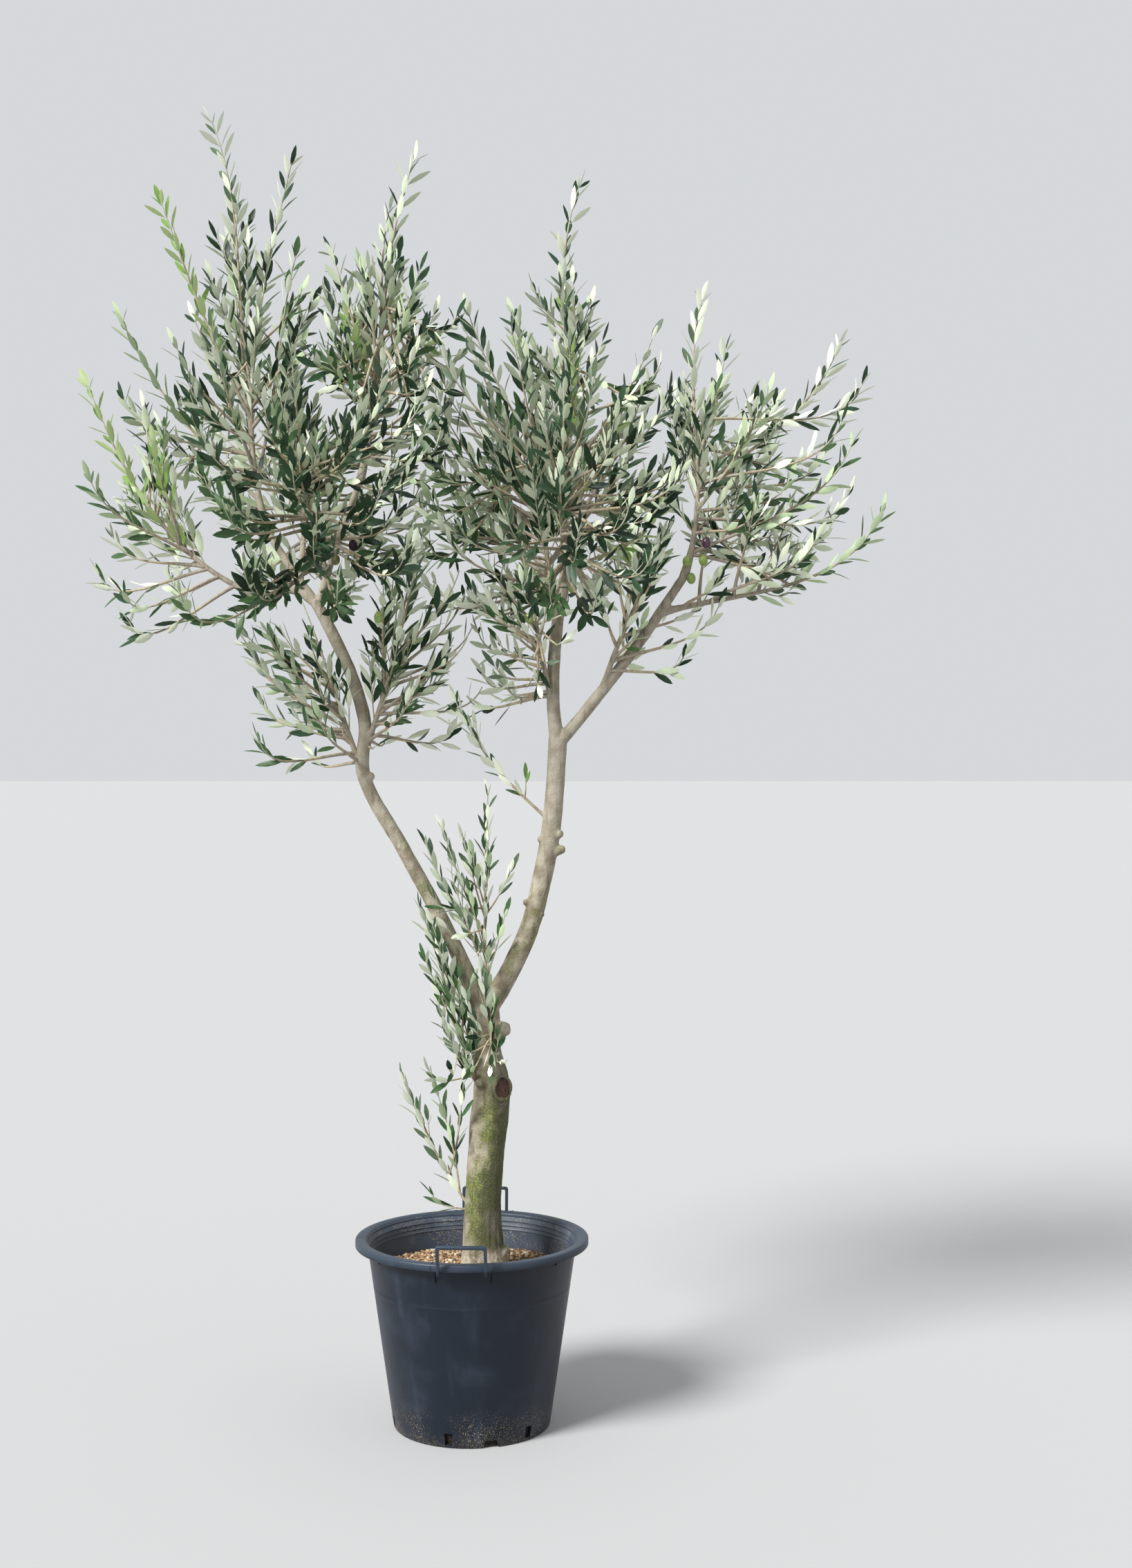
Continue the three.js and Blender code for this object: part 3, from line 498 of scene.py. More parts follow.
def soil_height(x, y):
    lumps = noise.noise(Vector((x, y, 0)) / LUMP["size"]) * LUMP["rise"]
    clods = noise.noise(Vector((x, y, 7)) / CLOD["size"]) * CLOD["rise"]
    mound = MOUND["rise"] * math.exp(-(Vector((x, y)) - TRUNK_FOOT).length / MOUND["reach"])
    return SOIL_LEVEL - SOIL_SUNK + (lumps + clods) + mound


def make_soil():
    wall = wall_inside(SOIL_LEVEL) - 2 * GAP
    foot = FLOOR + GAP
    profile = [(wall_inside(foot) - WALL, foot), (wall, SOIL_LEVEL - SOIL_EDGE)]
    profile += [(wall * (1 - ring / SOIL_RINGS), None) for ring in range(1, SOIL_RINGS)]
    points, faces = turned([(radius, height or 0) for radius, height in profile], SOIL_SIDES)
    surface = 2 * SOIL_SIDES
    points = points[:surface] + [(x, y, soil_height(x, y)) for x, y, _ in points[surface:]]
    finish = Finish("soil_body", (0.12, 0.075, 0.04), 0.95)
    damp_and_shade = finish.step(finish.cloud(60, 3), 0.4, 0.65)
    crumbs = finish.cloud(5, 4)
    colour = finish.tint((0.2, 0.12, 0.06), (0.06, 0.04, 0.025), damp_and_shade)
    colour = finish.tint(colour, (0.3, 0.19, 0.1), finish.step(crumbs, 0.55, 0.7))
    # Towards the bottom of the body the soil turns near black: painted shade deep inside the pot.
    colour = finish.tint(colour, (0.012, 0.008, 0.006), finish.step(finish.height(), 0.25, 0.1))
    finish.wear({"Base Color": colour, "Normal": finish.relief(crumbs, 4)})
    soil = make_piece("soil_fill", points, faces, [finish])
    seat(soil, "soil", "soil")


def grain_finish(name, base):
    finish = Finish(name, base, 0.9)
    pores = finish.cloud(1.6, 3)
    finish.wear({"Roughness": 0.78 + pores * 0.3, "Normal": finish.relief(pores, 0.6)})
    return finish


GRAIN_FINISHES = [
    grain_finish("grain_tan", (0.31, 0.2, 0.11)), grain_finish("grain_rust", (0.22, 0.11, 0.05)),
    grain_finish("grain_sand", (0.45, 0.32, 0.19)), grain_finish("grain_pale", (0.6, 0.53, 0.42)),
    grain_finish("grain_dark", (0.1, 0.06, 0.035)), grain_finish("grain_moss", (0.12, 0.13, 0.05)),
]
GRAIN_SHARES = (0.3, 0.53, 0.73, 0.81, 0.94, 1)


def make_grains():
    """Loose grains: dented balls of twenty faces, spread evenly over the whole surface."""
    draw = draws_from(GRAIN["seed"])
    ball = bmesh.new()
    bmesh.ops.create_icosphere(ball, subdivisions=1, radius=1)
    directions = [vertex.co.copy() for vertex in ball.verts]
    ball_faces = [tuple(vertex.index for vertex in face.verts) for face in ball.faces]
    ball.free()
    parts, which = [], []
    reach = wall_inside(SOIL_LEVEL) - SOIL_EDGE
    for k in range(GRAINS):
        radius = reach * math.sqrt((k + 0.5) / GRAINS)
        turn = k * GOLDEN_ANGLE
        x = radius * math.cos(turn) + draw(-GRAIN["stray"], GRAIN["stray"])
        y = radius * math.sin(turn) + draw(-GRAIN["stray"], GRAIN["stray"])
        size = draw(GRAIN["least"], GRAIN["most"]) * draw(0.7, 1)
        centre = Vector((x, y, soil_height(x, y) + size * GRAIN["sunk"]))
        squash = Vector((draw(0.8, 1.2), draw(0.7, 1.1), draw(0.6, 0.9)))
        spot = Vector((k * 1.7, k * 0.3, 0))
        dents = [1 + GRAIN["dent"] * noise.noise(direction + spot) for direction in directions]
        points = [tuple(centre + direction * squash * size * dent)
                  for direction, dent in zip(directions, dents)]
        parts.append((points, ball_faces))
        pick = draw(0, 1) + DARKER_RIGHT["share" if x > DARKER_RIGHT["from_x"] else "elsewhere"]
        kind = next((i for i, share in enumerate(GRAIN_SHARES) if pick < share), 4)
        which += [kind] * len(ball_faces)
    grains = make_piece("soil_grains", *joined(parts), GRAIN_FINISHES, which, crease=30)
    seat(grains, "soil", "soil")


make_soil()
make_grains()


# The trunk leans a little and forks at waist height into two long boughs. The bark is thin
# and smooth, grey-beige, with algae on the trunk and the shaded sides of the boughs.
def sighted(x, y, z):
    """Widths and heights are read in the plane y = 0, and moved along the line of sight."""
    scale = (y - EYE.y) / -EYE.y
    return Vector((EYE.x + (x - EYE.x) * scale, y, EYE.z + (z - EYE.z) * scale))


# Each row is x, depth y, height z and radius at one bend of the limb.
LIMBS = {
    "trunk": [
        (24, 0, 292, 45), (22, 0, 340, 39), (22, 0, 442, 35), (33, 0, 590, 37), (39, 0, 655, 36),
        (30, 2, 728, 27), (27, 4, 790, 27), (30, 3, 832, 22), (33, 2, 846, 14)],
    "bough_left": [
        (20, 5, 806, 18), (-47, 12, 959, 15), (-135, 22, 1123, 14), (-211, 28, 1262, 13.5),
        (-211, 31, 1372, 13), (-243, 34, 1480, 12.5), (-307, 38, 1610, 12)],
    "bough_left_outer": [(-303, 38, 1600, 7.5), (-352, 36, 1629, 7), (-428, 30, 1622, 6)],
    "bough_left_top": [(-307, 38, 1606, 9), (-348, 44, 1664, 8), (-403, 52, 1746, 7)],
    "bough_left_inner": [(-301, 38, 1600, 8.5), (-277, 32, 1684, 7.5), (-220, 20, 1844, 6.5)],
    "bough_right": [
        (29, 3, 812, 22), (67, -2, 871, 20), (116, -8, 980, 19), (151, -14, 1136, 19),
        (163, -18, 1251, 18.5), (168, -20, 1340, 18.5)],
    "bough_right_top": [
        (166, -20, 1328, 14), (158, -16, 1440, 12.5), (172, -10, 1600, 12), (204, 0, 1719, 10)],
    "bough_right_outer": [
        (172, -20, 1332, 12), (239, -30, 1413, 11.5), (335, -44, 1538, 10.5), (415, -56, 1657, 8)],
}
FLARE = {"lobes": 3, "swell": 0.22, "fade": 38, "turn": 0.4}
LIMB_STEP = 7
LIMB_SIDES = 24
BARK_VOXEL = 2.4
UP = Vector((0, 0, 1))

# The bark's roughness, as size across, size along and rise. It is finer on the boughs, and
# ridges run up the foot of the trunk.
BARK_WAVES = (34, 70, 2.0)
BARK_WRINKLES = (8, 22, 0.8)
BARK_CRACKLE = (4, 4, 0.35)
BOUGHS = {"above": 860, "share": 0.55}
RIDGES = {"lobes": 5, "along": 160, "rise": 3.6, "fade": 120, "within": 70, "top": 760}

# Knots and stubs where side shoots were cut: x, y, z of the middle, where it points, its
# radius and how far it stands out.
STUBS = [
    ((39, -3, 768), (1, -0.15, 0.1), 15, 36), ((20, -20, 668), (-0.35, -1, 0.1), 9, 22),
    ((40, -26, 600), (0.3, -1, 0), 8, 12), ((52, -22, 612), (0.6, -1, 0.1), 7, 12),
    ((117, -8, 992), (1, -0.5, 0.25), 8, 27), ((123, -9, 1016), (-1, -0.4, 0.2), 7, 25),
    ((158, -16, 1118), (1, -0.3, 0.3), 9, 26), ((150, -14, 1138), (-1, -0.4, 0.3), 7, 24),
    ((166, -20, 1152), (0.8, -0.7, 0.2), 8, 14), ((-62, 13, 985), (-1, -0.5, 0.2), 6, 20),
    ((-135, 22, 1123), (-0.8, -0.8, 0.3), 6, 18), ((-211, 28, 1262), (1, -0.4, 0.3), 8, 18),
    ((-211, 30, 1300), (-1, -0.4, 0.3), 7, 18), ((24, 20, 560), (-0.6, 1, 0.1), 10, 24),
    ((60, -6, 330), (1, -0.5, -0.2), 15, 12),
]

# A stub's outline, as shares of how far it stands out and of its radius there.
PEG_END = 0.75
PEG_SHAPE = ((0, 1.35), (0.35, 1.1), (0.75, 1), (0.95, PEG_END), (1, PEG_END * 0.6))
PEG_SIDES = 14

# Where a large bough was sawn off, and the ring of bark that closes in on the cut.
SAW_CUT = {"at": 0.5, "azimuth": 32, "rise": 0.12, "reach": 43, "half_width": 18, "half_height": 22,
           "dish": 3.2, "dent": 1.4, "middle": 4, "back": 14, "sides": 32}
CALLUS = {"outside": 1, "behind": 2, "thick": 3.6, "swell": 0.7, "lobes": 3, "sides": 10}
NECK = ((SAW_CUT["reach"], 25), (20, 23), (10, 20))


LENGTH_STEPS = 40


class Limb:
    """A limb's smooth curve through its bends, and its radius along it."""

    def __init__(self, bends):
        self.points = [sighted(*bend[:3]) for bend in bends]
        self.radii = [bend[3] for bend in bends]
        self.spans = len(bends) - 1

    def split(self, t):
        span = min(int(t * self.spans), self.spans - 1)
        return span, t * self.spans - span

    def at(self, t):
        span, share = self.split(t)
        points = self.points
        before = points[span - 1] if span else points[0] * 2 - points[1]
        after = points[span + 2] if span + 2 <= self.spans else points[-1] * 2 - points[-2]
        start, end = points[span], points[span + 1]
        leave, arrive = (end - before) / 2, (after - start) / 2
        bend = end * 3 - start * 3 - leave * 2 - arrive
        swing = start * 2 - end * 2 + leave + arrive
        return start + leave * share + bend * share ** 2 + swing * share ** 3

    def heading(self, t):
        low, high = max(t - 0.001, 0), min(t + 0.001, 1)
        return (self.at(high) - self.at(low)).normalized()

    def radius(self, t):
        span, share = self.split(t)
        return self.radii[span] * (1 - share) + self.radii[span + 1] * share

    def length(self):
        stops = [self.at(i / LENGTH_STEPS) for i in range(LENGTH_STEPS + 1)]
        return sum((b - a).length for a, b in zip(stops, stops[1:]))


def across(heading):
    """Two directions that are square to a heading and to each other."""
    reference = UP if abs(heading.z) < 0.95 else Vector((1, 0, 0))
    side = heading.cross(reference).normalized()
    return side, side.cross(heading).normalized()


def tube(path, radii, sides):
    """Points and faces of a closed tube along a path. A radius may be a function of angle."""
    points = []
    normal = None
    for i, (point, radius) in enumerate(zip(path, radii)):
        heading = (path[min(i + 1, len(path) - 1)] - path[max(i - 1, 0)]).normalized()
        normal = across(heading)[0] if normal is None else normal
        normal = (normal - heading * normal.dot(heading)).normalized()
        side = heading.cross(normal)
        for k in range(sides):
            angle = k * 2 * math.pi / sides
            size = radius(angle) if callable(radius) else radius
            points.append(tuple(point + (normal * math.cos(angle) + side * math.sin(angle)) * size))
    faces = []
    for i in range(len(path) - 1):
        for k in range(sides):
            a, b = i * sides + k, i * sides + (k + 1) % sides
            faces.append((a, b, b + sides, a + sides))
    last = (len(path) - 1) * sides
    faces.append(tuple(range(sides))[::-1])
    faces.append(tuple(range(last, last + sides)))
    return points, faces


def peg(centre, out, radius, reach):
    """A stub with a rounded end."""
    centre, out = Vector(centre), Vector(out).normalized()
    return tube([centre + out * reach * along for along, _ in PEG_SHAPE],
                [radius * wide for _, wide in PEG_SHAPE], PEG_SIDES)


limbs = {name: Limb(bends) for name, bends in LIMBS.items()}
cut_turn = math.radians(SAW_CUT["azimuth"])
CUT_OUT = Vector((math.sin(cut_turn), -math.cos(cut_turn), SAW_CUT["rise"])).normalized()
CUT_FACE = limbs["trunk"].at(SAW_CUT["at"]) + CUT_OUT * SAW_CUT["reach"]


def limb_tube(name, limb):
    rings = max(round(limb.length() / LIMB_STEP), 4)
    path = [limb.at(i / rings) for i in range(rings + 1)]
    if name != "trunk":
        return tube(path, [limb.radius(i / rings) for i in range(rings + 1)], LIMB_SIDES)

    def flared(i):
        fade = math.exp(-max(path[i].z - SOIL_LEVEL, 0) / FLARE["fade"])
        round_radius = limb.radius(i / rings)
        return lambda angle: round_radius * (
            1 + FLARE["swell"] * fade * math.cos(FLARE["lobes"] * angle + FLARE["turn"]))
    return tube(path, [flared(i) for i in range(rings + 1)], LIMB_SIDES * 2)


def callus():
    """The swollen ring of bark that closes in on the saw cut."""
    side, over = across(CUT_OUT)
    turns = np.linspace(0, 2 * math.pi, SAW_CUT["sides"] + 1)
    half_width = SAW_CUT["half_width"] + CALLUS["outside"]
    half_height = SAW_CUT["half_height"] + CALLUS["outside"]
    rim = [CUT_FACE - CUT_OUT * CALLUS["behind"] + side * half_width * math.cos(a)
           + over * half_height * math.sin(a) for a in turns]
    radii = [CALLUS["thick"] + CALLUS["swell"] * math.sin(CALLUS["lobes"] * a) for a in turns]
    ring = tube(rim, radii, CALLUS["sides"])
    neck = tube([CUT_FACE - CUT_OUT * behind for behind, _ in NECK], [radius for _, radius in NECK],
                LIMB_SIDES)
    return [ring, neck]


def bark_relief(point):
    """How far the bark stands out: long waves, ridges up the foot and a fine crackle."""
    x, y, z = point
    waves, wrinkles, crackle = (noise.noise(Vector((x / wide, y / wide, z / tall))) * rise
                                for wide, tall, rise in (BARK_WAVES, BARK_WRINKLES, BARK_CRACKLE))
    beside = x - TRUNK_FOOT.x
    ridges = 0
    if abs(beside) < RIDGES["within"] and z < RIDGES["top"]:
        turn = math.atan2(y, beside)
        round_foot = Vector((math.cos(turn) * RIDGES["lobes"], math.sin(turn) * RIDGES["lobes"],
                             z / RIDGES["along"]))
        fade = math.exp(-max(z - SOIL_LEVEL, 0) / RIDGES["fade"])
        ridges = noise.noise(round_foot) * RIDGES["rise"] * fade
    thick = 1 if z < BOUGHS["above"] else BOUGHS["share"]
    return (waves + wrinkles) * thick + ridges + crackle * thick


BARK = {"plain": (0.27, 0.25, 0.19), "old": (0.34, 0.3, 0.225), "old_shade": (0.165, 0.135, 0.09),
        "young": (0.34, 0.305, 0.24), "young_shade": (0.245, 0.21, 0.155),
        "scar": (0.19, 0.125, 0.085), "damp_and_shade": (0.04, 0.042, 0.016), "lichen": (0.47, 0.42, 0.34),
        "streak": (0.06, 0.047, 0.03), "lenticel": (0.45, 0.41, 0.33)}
MOSS = {"shade": (0.04, 0.05, 0.012), "light": (0.17, 0.19, 0.042)}


def bark_finish():
    """Grey-beige bark. Its moss is a crust of fine grains that keeps to one side, and the trunk's right
    side near its foot is darkened with painted shade.
    """
    finish = Finish("olive_bark", BARK["plain"], 0.85)
    height = finish.height()
    mottle = finish.step(finish.cloud(26, 5), 0.35, 0.68)
    streaks = finish.cloud(9, 5, (1, 1, 0.12))
    grains = finish.cloud(3, 4)
    colour = finish.tint(BARK["old"], BARK["old_shade"], mottle)
    young = finish.tint(BARK["young"], BARK["young_shade"], mottle)
    colour = finish.tint(colour, young, finish.step(height, 0.95, 1.35))
    scars = finish.step(finish.cloud(30, 2), 0.6, 0.66) * finish.step(height, 0.8, 0.5)
    colour = finish.tint(colour, BARK["scar"], scars * 0.75)

    edge = finish.along("X") + finish.cloud(30, 4) * 0.05
    low_edge = edge - finish.step(height, 0.44, 0.56) * 0.026
    trunk = finish.step(low_edge, 0.006, 0.024) * finish.step(height, 0.74, 0.58)
    foot = finish.step(height + finish.cloud(24, 3) * 0.04, 0.355, 0.375)
    bough = finish.step(height, 1.25, 1.05) * finish.step(height, 0.66, 0.78) * 0.5
    patches = finish.step(finish.cloud(34, 5, (1, 1, 0.4)), 0.36, 0.52)
    bough_patches = finish.step(finish.cloud(30, 4, (1, 1, 0.5)), 0.5, 0.62)
    moss = trunk * foot * patches * 0.92 + bough * bough_patches + streaks * 0.08
    green = finish.tint(MOSS["shade"], MOSS["light"], finish.step(grains, 0.36, 0.64))
    colour = finish.tint(colour, green, moss * finish.step(grains, 0.22, 0.4))
    # The trunk's right side, from the soil up to about 0.7 m, is darkened: painted shade.
    damp_and_shade = finish.step(low_edge, 0.03, 0.05) * finish.step(height, 0.78, 0.66) * foot
    colour = finish.tint(colour, BARK["damp_and_shade"], damp_and_shade * 0.72)
    lichen = finish.step(height, 0.35, 0.325) * finish.step(finish.cloud(9, 4), 0.48, 0.66)
    colour = finish.tint(colour, BARK["lichen"], lichen * 0.6)
    colour = finish.tint(colour, BARK["streak"], finish.step(streaks, 0.54, 0.72) * 0.55)
    lenticels = finish.step(finish.cloud(3.2, 2), 0.66, 0.72)
    colour = finish.tint(colour, BARK["lenticel"], lenticels * 0.45)
    fine = grains + streaks * 0.8
    finish.wear({"Base Color": colour, "Roughness": 0.72 + mottle * 0.2,
                 "Normal": finish.relief(fine, 1.6)})
    return finish


olive_bark = bark_finish()


def make_bark(forks):
    """All limbs as one skin, with the feet of the stems that fork from them."""
    parts = [limb_tube(name, limb) for name, limb in limbs.items()]
    parts += [peg(*stub) for stub in STUBS] + callus() + forks
    bark = make_piece("trunk_and_boughs", *joined(parts), [olive_bark])
    skin = bark.modifiers.new("skin", "REMESH")
    skin.mode = "VOXEL"
    skin.voxel_size = BARK_VOXEL * MM
    smooth = bark.modifiers.new("smooth", "SMOOTH")
    smooth.iterations = 3
    settle(bark)
    mesh = bark.data
    for vertex, normal in zip(mesh.vertices, [v.normal.copy() for v in mesh.vertices]):
        vertex.co += normal * bark_relief(vertex.co / MM) * MM
    mesh.shade_smooth()
    if not mesh.materials:
        mesh.materials.append(olive_bark.material)
    seat(bark, "bark", *LIMBS)


HEARTWOOD = {"plain": (0.06, 0.03, 0.02), "light": (0.085, 0.036, 0.024), "dark": (0.022, 0.012, 0.01)}


def make_saw_cut():
    """The cut end: dark heartwood with drying cracks, set back inside its callus."""
    finish = Finish("weathered_cut", HEARTWOOD["plain"], 0.8)
    rings = finish.step(finish.cloud(3.5, 3, (1, 1, 0.4)), 0.4, 0.65)
    colour = finish.tint(HEARTWOOD["light"], HEARTWOOD["dark"], rings)
    finish.wear({"Base Color": colour, "Normal": finish.relief(rings, 0.8)})
    side, over = across(CUT_OUT)
    sides = SAW_CUT["sides"]
    points = [tuple(CUT_FACE - CUT_OUT * SAW_CUT["middle"])]
    for share in (0.35, 0.7, 1):
        for k in range(sides):
            angle = k * 2 * math.pi / sides
            spot = Vector((math.cos(angle) * 3, math.sin(angle) * 3, share * 3))
            dish = -SAW_CUT["dish"] + SAW_CUT["dent"] * noise.noise(spot)
            flat = (side * SAW_CUT["half_width"] * math.cos(angle)
                    + over * SAW_CUT["half_height"] * math.sin(angle))
            points.append(tuple(CUT_FACE + flat * share + CUT_OUT * dish))
    back = len(points)
    points.append(tuple(CUT_FACE - CUT_OUT * SAW_CUT["back"]))
    after = [(k + 1) % sides for k in range(sides)]
    faces = [(0, 1 + k, 1 + after[k]) for k in range(sides)]
    for first in (1, 1 + sides):
        faces += [(first + k, first + sides + k, first + sides + after[k], first + after[k])
                  for k in range(sides)]
    rim = 1 + 2 * sides
    faces += [(rim + after[k], rim + k, back) for k in range(sides)]
    cut = make_piece("saw_cut", points, faces, [finish], crease=60)
    seat(cut, "bark", "trunk")


# Foliage. An olive's leaves are narrow and leathery, dark green above and silvery beneath. They
# sit in opposite pairs on slender twigs that fork from the boughs' ends and turn upwards.

# Each mass grows from one stem on a limb, by the rule that the measured model grew by, and
# goes on to side twigs. `tips` are where its leaders end, as x, depth y and z, lowest first, and
# the last one is the stem's own. `fill` leaders are dealt through the room of the tips, and the
# leaders of `more` close the crown's outline. `kept` is the share of its side twigs, and
# `margin` how far past the measured mass its leaves may reach, where they aren't the usual ones.
MASSES = {
    "leaves_left_outer": {
        "on": "bough_left_outer", "at": 1, "fill": 6,
        "tips": [(-690, -70, 1612), (-600, 170, 1690), (-720, 60, 1775), (-765, -80, 1888),
                 (-630, -150, 1960), (-640, 160, 2010), (-770, 30, 2072)]},
    "leaves_left_top": {
        "on": "bough_left_top", "at": 1, "fill": 5, "kept": 0.34,
        "tips": [(-704, 50, 2205), (-520, -130, 2190), (-480, 180, 2320), (-626, -40, 2433),
                 (-528, 40, 2592), (-343, -10, 2513)],
        "more": [(-335, -40, 2330), (-320, 60, 2250), (-325, -80, 2200), (-560, 60, 2200),
                 (-595, -50, 2150), (-320, 20, 2150)]},
    "leaves_left_inner": {
        "on": "bough_left_inner", "at": 1, "fill": 26,
        "tips": [(-50, -120, 1970), (-85, 20, 2060), (-60, 110, 2150), (-300, -40, 2240),
                 (-250, 110, 2250), (-205, -90, 2300), (-155, 60, 2410), (-97, -10, 2518)],
        "more": [(-290, 60, 2330), (-290, -90, 2180), (-90, -80, 2080), (-60, 30, 2160),
                 (-110, 60, 2210), (-80, -100, 2000), (-100, 80, 1990), (-60, -40, 1900),
                 (-290, 90, 2250), (-300, -20, 2120)]},
    "leaves_left_front": {
        "on": "bough_left_inner", "at": 0.38, "fill": 26,
        "tips": [(-440, -330, 1710), (-105, -260, 1760), (-540, -270, 1900), (-170, -250, 2060),
                 (-360, -250, 2150)],
        "more": [(-110, -200, 1900), (-90, -170, 1960), (-130, -230, 1850), (-100, -150, 2020)]},
    "leaves_left_back": {
        "on": "bough_left_top", "at": 0.4, "fill": 24,
        "tips": [(-230, 335, 1700), (-85, 270, 1830), (-540, 300, 1880), (-130, 260, 2080),
                 (-360, 280, 2180)],
        "more": [(-100, 200, 1930), (-90, 230, 1870), (-110, 180, 2000)]},
    "leaves_left_low": {
        "on": "bough_left", "at": 0.5, "fill": 13,
        "tips": [(-310, -90, 1420), (-350, 110, 1470), (-455, 0, 1560), (-420, -110, 1600),
                 (-350, 20, 1650)]},
    "leaves_left_low_inner": {
        "on": "bough_left", "at": 0.56, "fill": 16,
        "tips": [(-105, -80, 1470), (-60, 90, 1520), (-20, -20, 1580), (-150, 150, 1710),
                 (-175, -140, 1690), (3, 20, 1660), (-75, -30, 1760)]},
    "leaves_right_top": {
        "on": "bough_right_top", "at": 1, "fill": 15,
        "tips": [(350, 110, 2060), (150, -110, 2110), (370, -60, 2170), (135, 60, 2210),
                 (190, 40, 2290), (226, -10, 2468)]},
    "leaves_right_inner": {
        "on": "bough_right_top", "at": 0.62, "fill": 24,
        "tips": [(-70, -110, 1790), (-40, 150, 1880), (-95, 10, 1950), (60, -150, 1960),
                 (-30, -10, 2180), (64, 10, 2211)],
        "more": [(-95, -60, 1850), (-100, 70, 1840), (-80, -90, 1990), (-90, 40, 2060),
                 (-100, -30, 1760), (-90, -80, 1910), (-70, 80, 1890)]},
    "leaves_right_front": {
        "on": "bough_right_top", "at": 0.78, "fill": 20,
        "tips": [(150, -330, 1690), (60, -310, 1830), (400, -300, 1880), (300, -270, 2040),
                 (180, -280, 2090)],
        "more": [(360, -200, 1900), (380, -160, 1840), (340, -180, 1980), (350, -240, 1790)]},
    "leaves_right_back": {
        "on": "bough_right_top", "at": 0.86, "fill": 18,
        "tips": [(240, 330, 1700), (40, 300, 1880), (430, 290, 1900), (330, 280, 2060),
                 (190, 290, 2120)],
        "more": [(340, 200, 1840), (390, 180, 1910), (350, 160, 2000)]},
    "leaves_right_outer": {
        "on": "bough_right_outer", "at": 1, "fill": 17,
        "tips": [(761, -60, 1957), (600, 170, 1950), (596, -120, 2060), (734, 30, 2149),
                 (503, 90, 2140), (464, -10, 2241)],
        "more": [(425, -60, 1900), (405, 60, 1960), (400, -20, 2050)]},
    "leaves_right_side": {
        "on": "bough_right_outer", "at": 0.8, "fill": 0, "kept": 0.4,
        "tips": [(500, -110, 1700), (690, -80, 1770), (560, -170, 1850), (640, 80, 1850),
                 (819, -20, 1826)],
        "more": [(440, -60, 1815), (470, 20, 1800), (415, -30, 1790)]},
    "leaves_right_low": {
        "on": "bough_right_top", "at": 0.22, "fill": 12, "margin": 55,
        "tips": [(60, 70, 1480), (30, -60, 1520), (60, 110, 1690), (5, -20, 1680),
                 (85, -95, 1750)],
        "more": [(150, -90, 1530), (190, -80, 1570), (110, -95, 1540), (205, -70, 1640),
                 (160, -80, 1650), (125, -80, 1490)]},
    "leaves_right_low_outer": {
        "on": "bough_right_outer", "at": 0.4, "fill": 5, "kept": 0.55, "margin": 40,
        "tips": [(330, 90, 1560), (500, -60, 1640), (250, -130, 1650), (325, 60, 1770),
                 (385, -130, 1775)],
        "more": [(350, -100, 1760), (385, 40, 1770), (310, -90, 1560), (345, -80, 1600)]},
    "shoot_middle": {
        "on": "bough_right", "at": 0.66, "fill": 0,
        "tips": [(107, -60, 1293), (-47, -50, 1450)]},
    "shoots_fork": {
        "on": "trunk", "at": 0.93, "fill": 3,
        "tips": [(73, -60, 1030), (-105, -30, 1168), (-72, -55, 1198), (-28, -50, 1176),
                 (30, -50, 1268)],
        "more": [(-88, -40, 1060), (-50, -50, 1095), (-15, -50, 1070), (35, -55, 1120),
                 (-60, -60, 1000), (10, -70, 960)]},
    "shoots_trunk_left": {
        "on": "trunk", "at": 0.4, "fill": 0,
        "tips": [(-60, -80, 800), (-25, -90, 900), (-116, -50, 1043)],
        "more": [(-104, -60, 940), (-90, -60, 1010), (-52, -85, 860), (-95, -80, 720),
                 (-70, -70, 960), (-45, -95, 720), (-78, -75, 850)]},
    "shoots_trunk_front": {
        "on": "trunk", "at": 0.52, "fill": 0,
        "tips": [(55, -85, 790), (-20, -95, 860), (30, -90, 940)],
        "more": [(0, -100, 800), (-30, -100, 770), (46, -90, 850), (12, -95, 920),
                 (-15, -95, 730), (36, -100, 730), (60, -80, 740)]},
    "shoot_base": {
        "on": "trunk", "at": 0.19, "fill": 0,
        "tips": [(-92, -20, 480), (-80, -40, 677), (-2, -85, 750), (-150, -10, 707)]},
}
FIRST_SEED = 1000
SEED_STEP = 77

# How a shoot of each kind is built: its leaf's length, the spacing of its pairs, the radii of
# stem and leader, and the bare share at its foot. Side twigs stand between two fractions of it,
# and leave the last stretch below its tip to leaves alone. The shoots at the trunk are young
# and straight, and show more of their leaves' undersides.
CROWN = {"leaf": 54, "node": 23, "twig_node": 19, "stem": 6.5, "leader": 4.2, "bare": 0.24,
         "side_from": 0.08, "side_to": 0.64, "side_step": 30, "side_most": 170, "side_short": 160,
         "lean": (18, 46), "margin": 12, "first_tone": 0}
# The trunk shoots' first_tone leaves out the darkest leaf tones: painted light, for the strong light that
# falls on these shoots.
SHOOT = {"leaf": 47, "node": 25, "twig_node": 22, "stem": 3.4, "leader": 2.2, "bare": 0.1,
         "side_from": 0.1, "side_to": 0.6, "side_step": 130, "side_most": 80, "side_short": 30,
         "lean": (10, 32), "margin": 50, "first_tone": 0.56}
TIP_RADIUS = 1.1
TAPER = 1.3
LEADERS_FROM = 0.04
LEADERS_TO = 0.42
ARRIVAL_LEAN = 0.4
PULL = 0.36
FORK_SPREAD = 0.25
SIDE_SPREAD = 0.3
SHOOT_STEP = 16

